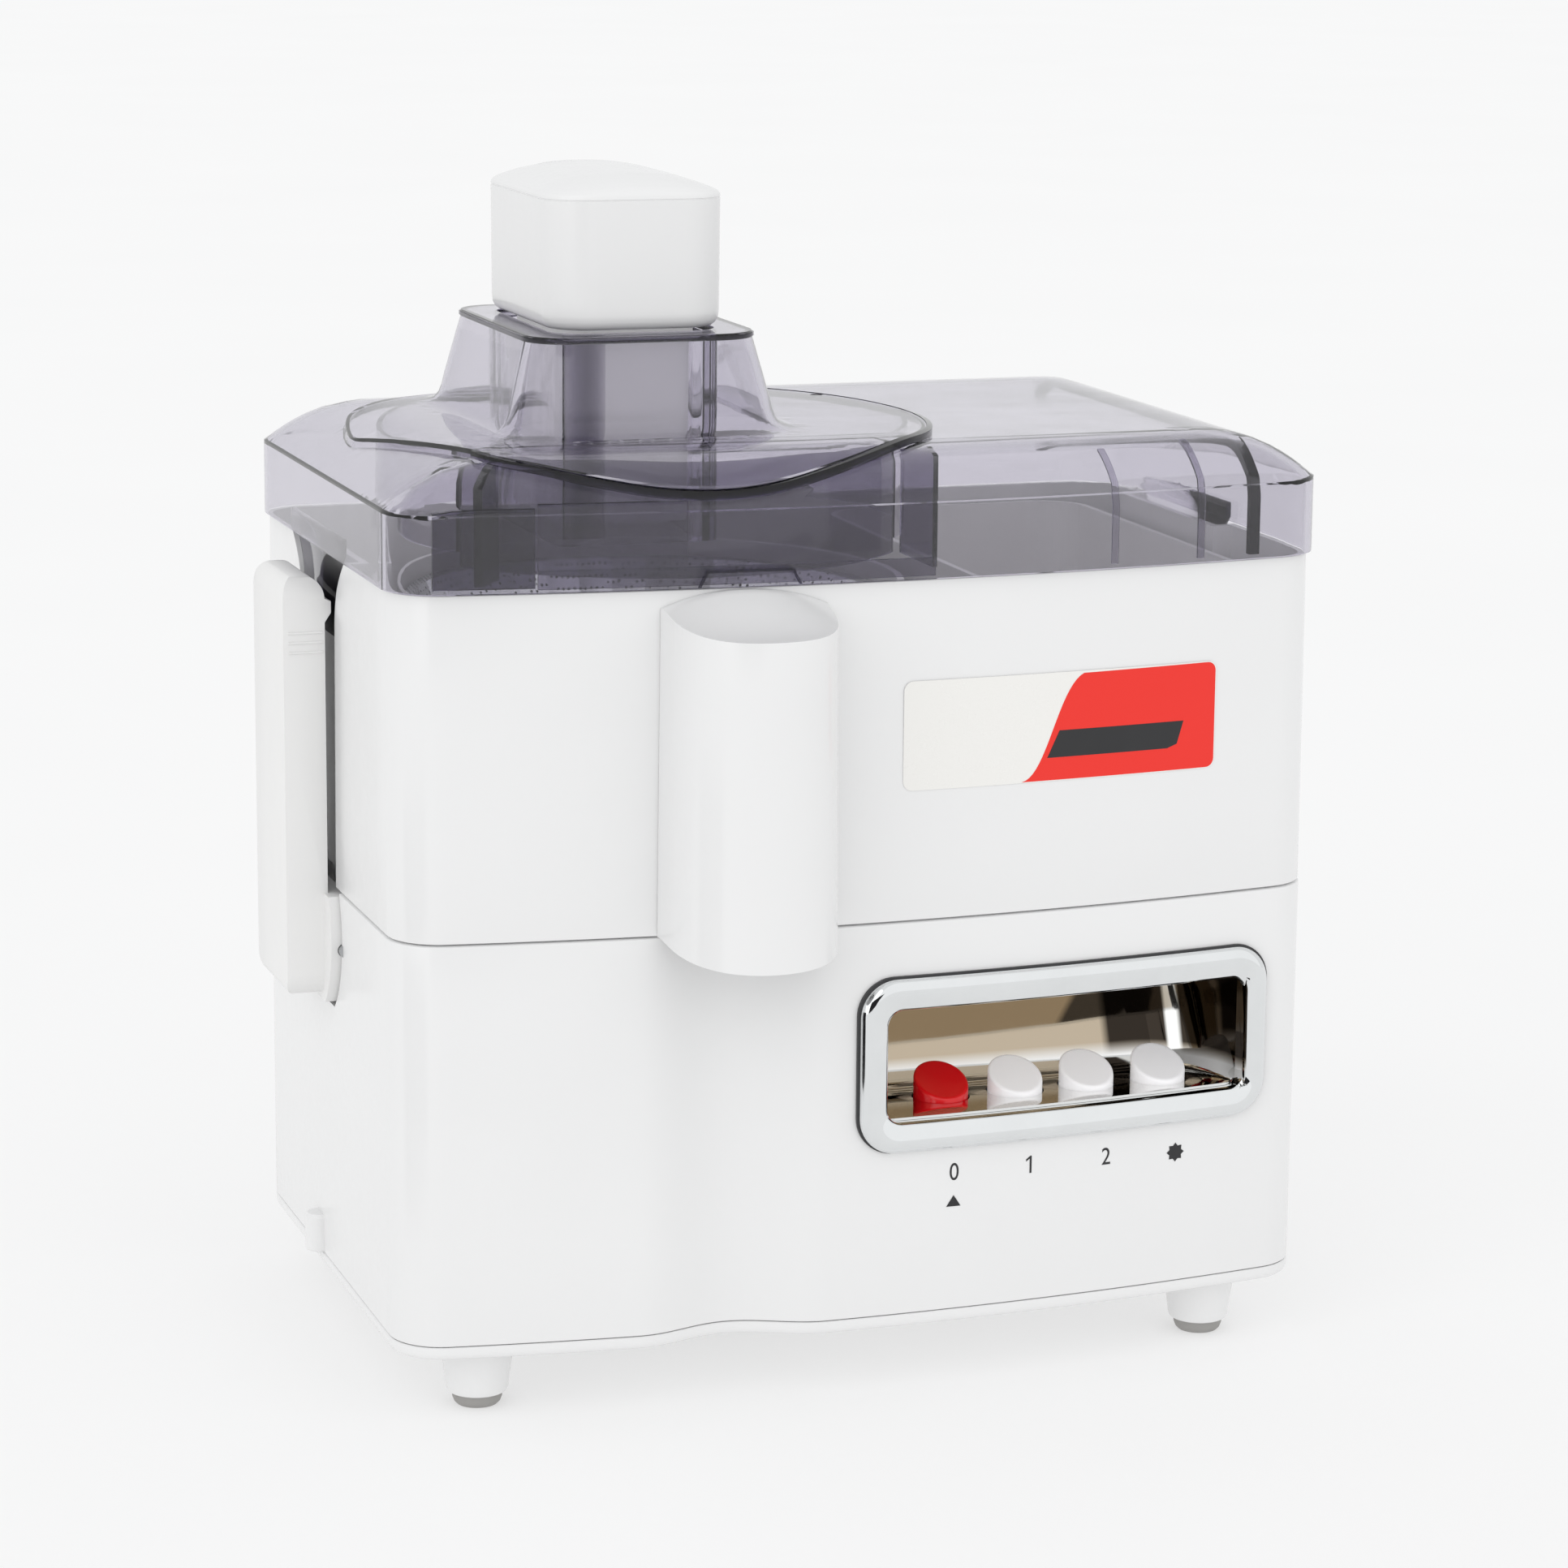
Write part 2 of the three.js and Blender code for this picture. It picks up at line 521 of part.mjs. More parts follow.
// a slanted foot, and a top which is an arch at the body and drops towards the nose
function spoutCover() {
  const outer = extrudeZ(spoutPlan(0), SPOUT_BOTTOM_Z, SPOUT_PEAK_Z, 8);
  const foot = new THREE.Shape();
  foot.moveTo(-145, 140);
  foot.lineTo(-90, 140);
  foot.lineTo(-90, HOUSING_BOTTOM_Z);
  foot.lineTo(-104, HOUSING_BOTTOM_Z);
  foot.lineTo(-145, SPOUT_BOTTOM_Z);
  foot.closePath();
  const top = new THREE.Shape();
  top.moveTo(-150, SPOUT_NOSE_Z - 2);
  top.lineTo(SPOUT_NOSE_Y, SPOUT_NOSE_Z);
  top.lineTo(-104, SPOUT_PEAK_Z);
  top.lineTo(-104, HOUSING_TOP_Z + 5);
  top.lineTo(-150, HOUSING_TOP_Z + 5);
  top.closePath();
  const arch = new THREE.Shape();
  const half = SPOUT_HALF + 3;
  arch.moveTo(SPOUT_X - half, 140);
  arch.lineTo(SPOUT_X + half, 140);
  arch.lineTo(SPOUT_X + half, SPOUT_SHOULDER_Z - 1);
  arch.quadraticCurveTo(SPOUT_X, 2 * SPOUT_PEAK_Z - SPOUT_SHOULDER_Z + 1, SPOUT_X - half, SPOUT_SHOULDER_Z - 1);
  arch.closePath();
  const channel = extrudeZ(spoutPlan(2.4), 130, 241, 8);
  const bodyBehind = block(-0.1, 130, 0.5, HOUSING_TOP_Z);
  const hood = cut(outer, [extrudeX(foot, -90, 0), extrudeX(top, -90, 0), channel, bodyBehind]);
  return hood.intersect(extrudeY(arch, -150, -90));
}

function armRecess() {
  const shape = new THREE.Shape();
  const half = RECESS_HALF;
  shape.moveTo(ARM_Y - half, HOUSING_BOTTOM_Z - 1);
  shape.lineTo(ARM_Y + half, HOUSING_BOTTOM_Z - 1);
  shape.lineTo(ARM_Y + half, 236);
  shape.quadraticCurveTo(ARM_Y + half + 3, 250, ARM_Y + half + 15, HOUSING_TOP_Z + 1);
  shape.lineTo(ARM_Y - half - 15, HOUSING_TOP_Z + 1);
  shape.quadraticCurveTo(ARM_Y - half - 3, 250, ARM_Y - half, 236);
  shape.closePath();
  return shape;
}

function juiceHousing() {
  const skin = cut(block(0.3, HOUSING_BOTTOM_Z, 0.9, HOUSING_TOP_Z), [
    block(WALL, HOUSING_FLOOR_Z, WALL + 0.6, HOUSING_TOP_Z + 1),
  ]);
  const reach = RECESS_HALF + 16;
  const backing = box(-148.5, -RECESS_X + 2.4, ARM_Y - reach, ARM_Y + reach, HOUSING_BOTTOM_Z, HOUSING_TOP_Z);
  const recess = extrudeX(armRecess(), -BODY_W / 2 - 10, -RECESS_X);
  const side = MOUTH.half + 4;
  const wallGap = box(SPOUT_X - side, SPOUT_X + side, -106, -96, MOUTH.z0 - 4, MOUTH.z1 + 4);
  return cut(join([skin, backing, mirrored(backing)]), [
    recess,
    mirrored(recess),
    wallGap,
    rod(24, HOUSING_BOTTOM_Z - 1, HOUSING_FLOOR_Z + 1, DRIVE_X, 0),
  ]);
}

place('juice_housing', juiceHousing(), white());
place('spout_cover', spoutCover(), white());

const BOWL_R = 84;
const BOWL_RIM_Z = 244;

function juiceBowl() {
  const wall = 2.2;
  const bowl = turnedRing([
    [21, 155], [60, 158], [BOWL_R, 168], [BOWL_R, BOWL_RIM_Z], [BOWL_R - wall, BOWL_RIM_Z],
    [BOWL_R - wall, 170], [60, 160.4], [23.2, 157.4], [23.2, 169], [21, 169],
  ], DRIVE_X, 0, 40);
  return bowl.subtract(box(SPOUT_X - MOUTH.half, SPOUT_X + MOUTH.half, -90, -70, MOUTH.z0, MOUTH.z1));
}

// the short channel that leads from the bowl's mouth, through the front, into the spout cover
function spoutChute() {
  const { half, z0, z1 } = MOUTH;
  const wall = 2;
  const outer = box(SPOUT_X - half - wall, SPOUT_X + half + wall, -124, -78, z0 - wall, z1 + wall);
  const bore = box(SPOUT_X - half, SPOUT_X + half, -126, -70, z0, z1);
  return cut(outer, [bore, rod(BOWL_R + GAP, 150, 260, DRIVE_X, 0, 40)]);
}

place('juice_bowl', juiceBowl(), white());
place('spout_chute', spoutChute(), white());

function pulpContainer() {
  const wall = 2;
  const floor = HOUSING_FLOOR_Z + GAP;
  const plan = (inset) => roundedRect(44 + inset, 136 - inset, -84 + inset, 84 - inset, 16 - inset);
  return extrudeZ(plan(0), floor, 250, 4).subtract(extrudeZ(plan(wall), floor + 2.2, 252, 4));
}

place('pulp_container', pulpContainer(), white());

// ---- filter basket, grater disc and hub, which spin on the drive coupling ----
function filterBasket() {
  return turnedRing([
    [11, 172], [24, 172], [52, 190], [77, 232], [80, 236], [80, 238.4], [75, 238.4],
    [50.6, 192], [24, 192], [12, 192], [12, 186], [11, 186],
  ], DRIVE_X, 0, 40);
}

function graterDisc() {
  const disc = motorTube(7, 48, 192.4, 193.6, 32);
  const teeth = [];
  for (const [radius, count] of [[18, 8], [28, 12], [38, 16]]) {
    for (let i = 0; i < count; i += 1) {
      const tooth = box(radius - 1, radius + 1, -0.6, 0.6, 193.2, 195.4);
      teeth.push(tooth.rotate([0, 0, (360 * i) / count + radius]).translate([DRIVE_X, 0, 0]));
    }
  }
  return join([disc, ...teeth]);
}

place('filter_basket', filterBasket(), steel());
place('basket_socket', motorTube(10.6, 14, 157, 171.6), darkPlastic());
place('grater_disc', graterDisc(), steel());
const HUB = [[0, 187], [6, 187], [6, 194.2], [14, 194.2], [13, 199], [8, 203], [0, 204]];
place('basket_hub', turned(HUB, DRIVE_X, 0), white());

// ---- side clamps and their hinge pins ----
const ARM_OUTER = -165.3;
const ARM_INNER = -152;
const ARM_FOOT_Z = 116;
const ARM_TOP_Z = 250.6;

// a bar with a hooked inner lip at the top that holds the lid's tongue, and a round pivot near its foot
function clampArm() {
  const side = new THREE.Shape();
  side.moveTo(ARM_INNER, 244);
  side.lineTo(ARM_INNER + 2, 243);
  side.lineTo(ARM_INNER + 2, 239);
  side.lineTo(ARM_INNER, 236);
  side.lineTo(ARM_INNER, 146);
  side.quadraticCurveTo(ARM_INNER + 7, 141, ARM_INNER + 7, HINGE_Z);
  side.quadraticCurveTo(ARM_INNER + 7, 122, ARM_INNER, ARM_FOOT_Z);
  side.lineTo(ARM_OUTER + 4.5, ARM_FOOT_Z);
  side.quadraticCurveTo(ARM_OUTER, ARM_FOOT_Z, ARM_OUTER, ARM_FOOT_Z + 5);
  side.lineTo(ARM_OUTER, ARM_TOP_Z - 7);
  side.quadraticCurveTo(ARM_OUTER, ARM_TOP_Z, ARM_OUTER + 6, ARM_TOP_Z);
  side.quadraticCurveTo(ARM_INNER, ARM_TOP_Z, ARM_INNER, 244);
  const y0 = ARM_Y - ARM_W / 2;
  const y1 = ARM_Y + ARM_W / 2;
  const bar = extrudeY(side, y0, y1, 6)
    .intersect(extrudeX(roundedRect(y0, y1, ARM_FOOT_Z, ARM_TOP_Z, 8), -170, -140, 5));
  const pivot = extrudeX(pivotShape(PIVOT_R, 121, 146), ARM_INNER - 1.2, ARM_INNER + 5.6);
  return bar.add(pivot).subtract(rodAlongY(PIN_R + 0.15, -HINGE_X, HINGE_Z, y0 - 20, y1 + 20));
}

const arm = clampArm();
const pinEnd = POCKET.r + 1.4;
const hingePin = rodAlongY(PIN_R, -HINGE_X, HINGE_Z, ARM_Y - pinEnd, ARM_Y + pinEnd, 16);
place('clamp_left', arm, white());
place('clamp_right', mirrored(arm), white());
place('clamp_pin_left', hingePin, steel());
place('clamp_pin_right', mirrored(hingePin), steel());

// ---- lid with its feed chute ----
const ease = (t, power) => 1 - (1 - Math.min(Math.max(t, 0), 1)) ** power;
const ROLL = { ends: 38, front: 26, rear: 32, blend: 1.6 };

// height of the lid's skin: it rolls up from the front and rear edges and from both ends
function lidHeight(x, y) {
  const fromEnd = ease((BODY_W / 2 + LID_OVERHANG - Math.abs(x)) / ROLL.ends, 2.4);
  const fromFront = ease((y - frontY(x) + LID_OVERHANG) / ROLL.front, 2.2);
  const fromRear = ease((REAR_Y + LID_OVERHANG - y) / ROLL.rear, 2.2);
  const fromSide = Math.min(fromFront, fromRear);
  const drop = ((1 - fromEnd) ** ROLL.blend + (1 - fromSide) ** ROLL.blend) ** (1 / ROLL.blend);
  return LID_EDGE_Z + LID_RISE * Math.max(1 - drop, 0);
}

const LID_STEPS = { front: 12, rear: 12, ends: 5, corner: 3 };
const LID_RINGS = [5, 12, 22, 38, 66];

function lidSkin(inset) {
  const plan = outline(inset - LID_OVERHANG, LID_STEPS);
  const bottom = raise(plan, LID_BOTTOM_Z - (inset > 0 ? 1 : 0));
  const rings = LID_RINGS.map((offset) =>
    raise(outline(offset, LID_STEPS), (p) => lidHeight(p.x, p.y) - inset));
  return loft([bottom, raise(plan, LID_EDGE_Z - inset), ...rings]);
}

// the raised area's outline, from its front left corner round by the front, the right and the back
const RAISED = [
  [-117.5, -81], [-104, -88], [-90, -93.6], [-70, -99], [-48, -101.2], [-27, -99.4], [-4, -92.6], [14, -81.8],
  [27, -65], [34, -42], [35, -18], [29, 10], [16, 34], [-6, 55], [-36, 68], [-70, 67], [-98, 57], [-120, 46],
  [-132.5, 37], [-137.8, 22], [-140.3, 4], [-138, -9], [-134.2, -25], [-129.3, -45], [-124.4, -63.5],
];

function raisedArea() {
  const corners = RAISED.map(([x, y]) => new THREE.Vector3(x, y, 0));
  const curve = new THREE.CatmullRomCurve3(corners, true, 'catmullrom', 0.5);
  const plan = new THREE.Shape(curve.getPoints(RAISED.length * 2).slice(0, -1));
  const column = extrudeZ(plan, LID_EDGE_Z - 6, LID_EDGE_Z + LID_RISE + STEP_UP, 1);
  return column.intersect(lidSkin(0).translate([0, 0, STEP_UP])).subtract(lidSkin(LID_WALL));
}

const rectRing = (w, d, r, z) => {
  const shape = roundedRect(CHUTE_X - w / 2, CHUTE_X + w / 2, CHUTE_Y - d / 2, CHUTE_Y + d / 2, r);
  return raise(shape.getPoints(5).slice(0, -1), z);
};

const CHUTE_RIM_Z = 327.5;
const FUNNEL = [
  [98, 124, 21, 296],
  [89, 115, 19, 299.2],
  [83.6, 109.6, 16.5, 305],
  [73.2, 99.2, 13.6, CHUTE_RIM_Z],
];

// the funnel round the chute, drawn inside by an inset
function funnel(inset) {
  const top = FUNNEL.length - 1;
  const drop = (i) => (i === 0 ? 2 * inset : 0) + (i === top ? inset : 0);
  return loft(FUNNEL.map(([w, d, r, z], i) => rectRing(w - 2 * inset, d - 2 * inset, r - inset, z - drop(i))));
}

const TUBE = { w: 52, d: 76, r: 5, wall: 2.6, z: 262 };

// the straight tube which the pusher slides in
function tubeSolid(inset, z0, z1) {
  const ring = (z) => rectRing(TUBE.w - 2 * inset, TUBE.d - 2 * inset, TUBE.r + 2 * inset, z);
  return loft([ring(z0), ring(z1)]);
}

// the tongue that hangs down at each end, for the clamp to hook over
const TONGUE = { x0: -149, x1: -146.2, z0: 230, z1: 264, half: 20, top: 33 };

function lidTongue() {
  const { half, top, z0, z1 } = TONGUE;
  const shape = new THREE.Shape();
  shape.moveTo(ARM_Y - half, z0);
  shape.lineTo(ARM_Y + half, z0);
  shape.lineTo(ARM_Y + half + 4, z0 + 16);
  shape.quadraticCurveTo(ARM_Y + half + 6, z0 + 22, ARM_Y + top, LID_BOTTOM_Z);
  shape.lineTo(ARM_Y + top, z1);
  shape.lineTo(ARM_Y - top, z1);
  shape.lineTo(ARM_Y - top, LID_BOTTOM_Z);
  shape.quadraticCurveTo(ARM_Y - half - 6, z0 + 22, ARM_Y - half - 4, z0 + 16);
  shape.closePath();
  return extrudeX(shape, TONGUE.x0, TONGUE.x1);
}

const COLLAR = { r0: 82, r1: 84, z0: 262, z1: 292 };
const RIB_X = 127;

function lid() {
  const shell = lidSkin(0).subtract(lidSkin(LID_WALL));
  const funnelSkin = funnel(0).subtract(funnel(LID_WALL));
  const tubeOuter = tubeSolid(0, TUBE.z, CHUTE_RIM_Z - 0.5);
  const tubeInner = tubeSolid(TUBE.wall, TUBE.z - 5, CHUTE_RIM_Z + 5);
  const collar = tube(COLLAR.r0, COLLAR.r1, COLLAR.z0, COLLAR.z1, DISC_X, DISC_Y, 36).intersect(lidSkin(0));
  const openUnder = funnel(LID_WALL).intersect(box(-140, 20, -90, 80, 285, 301)).subtract(tubeOuter);
  const ribs = [-RIB_X, RIB_X].map((x) => box(x - 1.2, x + 1.2, -88, 88, 268, 296).intersect(lidSkin(0)));
  const tongue = lidTongue();
  const vent = rod(VENT.r, 285, 305, VENT.x, VENT.y, 12);
  const body = join([shell, raisedArea(), funnelSkin, collar, ...ribs, tongue, mirrored(tongue)]);
  return cut(body, [openUnder]).add(tubeOuter).subtract(tubeInner).subtract(vent);
}

place('lid', lid(), smoke());

// ---- pusher: a domed grip with a stem in the chute ----
const GRIP = [
  [52, 78, 12, 327.9], [56.6, 82.6, 13.5, 331], [57, 83, 13.5, 333], [57, 83, 13.5, 368],
  [52, 77, 13, 371], [38, 58, 14, 374], [16, 24, 7, 375.6],
];
const STEM = { w: 41, d: 65, r: 6, z: 268 };

function pusher() {
  const head = loft(GRIP.map(([w, d, r, z]) => rectRing(w, d, r, z)));
  const stem = loft([
    rectRing(STEM.w, STEM.d, STEM.r, STEM.z),
    rectRing(STEM.w + 1, STEM.d + 1, STEM.r + 0.5, GRIP[0][3] + 1),
  ]);
  return head.add(stem);
}

place('pusher', pusher(), white());

export default group;
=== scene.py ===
import math

import bmesh
import bpy
from mathutils import Matrix, Vector
from mathutils.geometry import delaunay_2d_cdt


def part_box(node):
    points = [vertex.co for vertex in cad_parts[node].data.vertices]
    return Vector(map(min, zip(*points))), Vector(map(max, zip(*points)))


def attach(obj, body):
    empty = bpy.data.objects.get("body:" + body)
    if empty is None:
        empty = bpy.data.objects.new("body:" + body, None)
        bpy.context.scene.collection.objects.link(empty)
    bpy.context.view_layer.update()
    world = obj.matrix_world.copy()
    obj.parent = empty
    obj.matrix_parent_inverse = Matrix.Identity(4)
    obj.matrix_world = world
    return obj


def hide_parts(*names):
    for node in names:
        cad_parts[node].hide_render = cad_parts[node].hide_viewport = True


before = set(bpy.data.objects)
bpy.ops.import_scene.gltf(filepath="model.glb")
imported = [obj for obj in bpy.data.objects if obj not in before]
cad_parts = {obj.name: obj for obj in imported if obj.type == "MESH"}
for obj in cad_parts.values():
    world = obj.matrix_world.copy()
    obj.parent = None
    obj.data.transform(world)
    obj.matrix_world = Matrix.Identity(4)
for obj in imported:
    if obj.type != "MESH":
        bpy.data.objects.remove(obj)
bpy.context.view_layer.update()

# ---- driving sizes, in millimetres about the body's own middle, with heights from the floor ----
MM = 0.001
HALF_PI = math.pi / 2
TURN = 2 * math.pi

# The body's plan has a bowed front, flat ends and a flat back. The housing's foot stands in a little.
BODY_W = 300.0
REAR_Y = 94.5
CREASE_Y = 77.5
CORNER_R = 17.0
FRONT_R = 889.0
FRONT_CENTRE = -CREASE_Y + math.sqrt((FRONT_R - CORNER_R) ** 2 - (BODY_W / 2 - CORNER_R) ** 2)
HOUSING_INSET = 0.3
SHIFT_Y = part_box("juice_housing")[1][1] / MM - REAR_Y + HOUSING_INSET

# Heights of the joins between the shells.
BASE_Z = 20.7
COVER_TOP = 24.9
SEAM_Z = 151.0
HOUSING_TOP = 257.0
LID_BOTTOM = 257.4
LID_EDGE = 281.1

DRIVE_X = -46.0
FOOT_X, FOOT_Y = 121.6, 75.4

# The shallow hollow under the spout, for the glass, and the spout itself.
SCOOP_X, SCOOP_HALF, SCOOP_DEPTH = -47.0, 30.0, 8.0
SPOUT_X = -45.0

# Clamps: the arm, its hinge, and the pocket that it stands in.
ARM_Y, ARM_W = 10.4, 42.0
ARM_FOOT, ARM_TOP = 116.0, 250.6
ARM_OUTER, ARM_INNER = -165.25, -152.0
HINGE_X, HINGE_Z = 149.0, 133.0
PIVOT_Z = 136.0
POCKET_HALF = 22.3
POCKET_FLOOR = 112.2

# Control panel. PANEL and WINDOW are [x0, x1, z0, z1, corner radius].
PANEL = (-7.8, 133.1, 77.8, 133.6, 12.0)
WINDOW = (1.5, 125.2, 87.1, 123.4, 5.0)
BUTTONS = (("button_off", 27.9), ("button_low", 53.0), ("button_high", 77.3), ("button_pulse", 102.0))
BUTTON_Y, BUTTON_R = -82.5, 8.7
BUTTON_TOP, BUTTON_SLOPE, BUTTON_DISH = 92.8, 0.48, 0.8
TRAY_FRONT, TRAY_FLOOR, TRAY_CEILING = -101.5, 88.0, 122.4
PRINT_LIFT = 0.06

# Lid: its wall, the rise of its top over the edge, the raised area, and the chute with its rim.
LID_WALL = 2.2
LID_OVERHANG = 0.7
LID_RISE = 14.4
DISC_STEP = 2.3
DISC_X, DISC_Y = -46.0, -2.0
VENT = (20.0, 21.0)
CHUTE_X, CHUTE_Y = -60.0, -5.0
CHUTE_RIM = 327.5
# [half width, half depth, corner radius, rise over the raised area], from the foot upwards.
CHUTE_RINGS = [(49.0, 62.0, 21.0, 0.0), (46.6, 59.6, 20.0, 0.35), (44.6, 57.6, 19.0, 1.3),
               (43.2, 56.2, 18.0, 3.0), (42.2, 55.2, 17.0, 5.6), (41.4, 54.4, 16.2, 9.0),
               (39.6, 52.4, 15.0, 16.0), (38.0, 50.9, 14.2, 22.0), (36.6, 49.6, 13.6, 27.4)]
# The raised area's outline, from its front left corner round by the front, the right and the back.
RAISED = [(-117.5, -81.0), (-104.0, -88.0), (-90.0, -93.6), (-70.0, -99.0), (-48.0, -101.2), (-27.0, -99.4),
          (-4.0, -92.6), (14.0, -81.8), (27.0, -65.0), (34.0, -42.0), (35.0, -18.0), (29.0, 10.0),
          (16.0, 34.0), (-6.0, 55.0), (-36.0, 68.0), (-70.0, 67.0), (-98.0, 57.0), (-120.0, 46.0),
          (-132.5, 37.0), (-137.8, 22.0), (-140.3, 4.0), (-138.0, -9.0), (-134.2, -25.0), (-129.3, -45.0),
          (-124.4, -63.5), (-121.6, -74.0)]
# The edge of the shallow slot in the skirt above the spout, as a narrow dark band of painted shade.
SLOT_BAND = [(-60.0, 257.9), (-57.4, 262.9), (-30.4, 262.9), (-27.8, 257.9), (-28.7, 257.9), (-31.0, 262.1),
             (-56.8, 262.1), (-59.1, 257.9)]


def front_y(x):
    """The bowed front's y at x."""
    return FRONT_CENTRE - math.sqrt(FRONT_R ** 2 - x * x)


# ---- materials
def new_material(name):
    mat = bpy.data.materials.new(name)
    mat.use_nodes = True
    shader = mat.node_tree.nodes["Principled BSDF"]
    return mat, mat.node_tree, shader


def set_inputs(node, **values):
    """Sets sockets by their names, with _ for a space."""
    for name, value in values.items():
        node.inputs[name.replace("_", " ")].default_value = value


def noise(tree, scale, detail=3.0, rough=0.5):
    coord = tree.nodes.new("ShaderNodeTexCoord")
    tex = tree.nodes.new("ShaderNodeTexNoise")
    set_inputs(tex, Scale=scale, Detail=detail, Roughness=rough)
    tree.links.new(coord.outputs["Object"], tex.inputs["Vector"])
    return tex.outputs["Fac"]


def ramp_range(tree, source, low, high, from_min=0.35, from_max=0.65):
    node = tree.nodes.new("ShaderNodeMapRange")
    set_inputs(node, From_Min=from_min, From_Max=from_max, To_Min=low, To_Max=high)
    tree.links.new(source, node.inputs["Value"])
    return node.outputs["Result"]


def surface(tree, shader, color, gloss):
    tree.links.new(color, shader.inputs["Base Color"])
    tree.links.new(gloss, shader.inputs["Roughness"])


def tint_mix(tree, source, dark, light):
    node = tree.nodes.new("ShaderNodeMix")
    node.data_type = "RGBA"
    node.inputs[6].default_value = (*dark, 1)
    node.inputs[7].default_value = (*light, 1)
    tree.links.new(source, node.inputs[0])
    return node.outputs[2]


def add_bump(tree, shader, source, strength, distance):
    node = tree.nodes.new("ShaderNodeBump")
    set_inputs(node, Strength=strength, Distance=distance)
    tree.links.new(source, node.inputs["Height"])
    tree.links.new(node.outputs["Normal"], shader.inputs["Normal"])


def moulded(name, dark, light, rough, grain=0.03, grain_scale=1400.0):
    """Moulded plastic: slight colour drift, gloss that varies, and a fine moulding grain."""
    mat, tree, shader = new_material(name)
    drift = noise(tree, 26.0, 4.0)
    gloss = noise(tree, 90.0, 5.0, 0.6)
    fine = noise(tree, grain_scale, 2.0)
    surface(tree, shader, tint_mix(tree, drift, dark, light), ramp_range(tree, gloss, *rough))
    add_bump(tree, shader, fine, grain, 0.0002)
    set_inputs(shader, IOR=1.5)
    return mat


def glowing(mat, strength):
    """Adds an even white glow. On the stem and the buttons it is painted light, which lifts them out of the
    shade of the chute and the recess; the floor glows evenly.
    """
    shader = mat.node_tree.nodes["Principled BSDF"]
    set_inputs(shader, Emission_Color=(1, 1, 1, 1), Emission_Strength=strength)


def polished_metal(name, dark, light, rough, waves=0.02):
    mat, tree, shader = new_material(name)
    haze = noise(tree, 60.0, 6.0, 0.65)
    ripple = noise(tree, 45.0, 1.0)
    surface(tree, shader, tint_mix(tree, haze, dark, light), ramp_range(tree, haze, *rough))
    set_inputs(shader, Metallic=1.0)
    add_bump(tree, shader, ripple, waves, 0.002)
    return mat


def share_of(tree, source, start, end):
    """0 where the source is at start or before it, 1 from end on."""
    return ramp_range(tree, source, 0.0, 1.0, start, end)


def multiply(tree, a, b):
    node = tree.nodes.new("ShaderNodeMath")
    node.operation = "MULTIPLY"
    tree.links.new(a, node.inputs[0])
    tree.links.new(b, node.inputs[1])
    return node.outputs[0]


def layer(tree, under, share, color):
    node = tree.nodes.new("ShaderNodeMix")
    node.data_type = "RGBA"
    node.inputs[7].default_value = (*color, 1)
    tree.links.new(under, node.inputs[6])
    tree.links.new(share, node.inputs[0])
    return node.outputs[2]


def recess_mirror():
    """Plating of the button recess, bright on the floor. The beige on the back and the dark at the right end
    are painted reflections, and a narrow bright band near the right end is a painted highlight.
    """
    mat, tree, shader = new_material("mirror_plating_painted_reflections")
    coord = tree.nodes.new("ShaderNodeTexCoord")
    split = tree.nodes.new("ShaderNodeSeparateXYZ")
    tree.links.new(coord.outputs["Object"], split.inputs[0])
    haze = noise(tree, 60.0, 6.0, 0.65)
    color = tint_mix(tree, haze, (0.80, 0.80, 0.79), (0.86, 0.86, 0.85))
    # Above the floor the back is painted beige: a painted reflection.
    back_reflection_share = share_of(tree, split.outputs["Z"], 0.0925, 0.0965)
    color = layer(tree, color, back_reflection_share, (0.50, 0.42, 0.315))
    # The back's right end is painted dark: a painted reflection.
    dark_reflection_share = share_of(tree, split.outputs["X"], 0.0895, 0.0925)
    color = layer(tree, color, multiply(tree, dark_reflection_share, back_reflection_share), (0.035, 0.028, 0.022))
    # A narrow bright band near the right end: a painted highlight.
    highlight_start = share_of(tree, split.outputs["X"], 0.1105, 0.1115)
    highlight_end = share_of(tree, split.outputs["X"], 0.1150, 0.1138)
    color = layer(tree, color, multiply(tree, highlight_start, highlight_end), (0.80, 0.80, 0.78))
    surface(tree, shader, color, ramp_range(tree, haze, 0.03, 0.07))
    set_inputs(shader, Metallic=1.0)
    ripple = noise(tree, 45.0, 1.0)
    add_bump(tree, shader, ripple, 0.03, 0.002)
    return mat


def perforated_steel():
    """Stainless sheet with a close pattern of holes, shown as dark pits."""
    mat, tree, shader = new_material("perforated_steel")
    coord = tree.nodes.new("ShaderNodeTexCoord")
    cells = tree.nodes.new("ShaderNodeTexVoronoi")
    set_inputs(cells, Scale=520.0, Randomness=0.15)
    tree.links.new(coord.outputs["Object"], cells.inputs["Vector"])
    hole = ramp_range(tree, cells.outputs["Distance"], 0.0, 1.0, 0.22, 0.30)
    color = tint_mix(tree, hole, (0.03, 0.03, 0.032), (0.66, 0.67, 0.68))
    gloss = ramp_range(tree, cells.outputs["Distance"], 0.7, 0.24, 0.22, 0.30)
    surface(tree, shader, color, gloss)
    set_inputs(shader, Metallic=1.0)
    add_bump(tree, shader, hole, 0.6, 0.0003)
    return mat


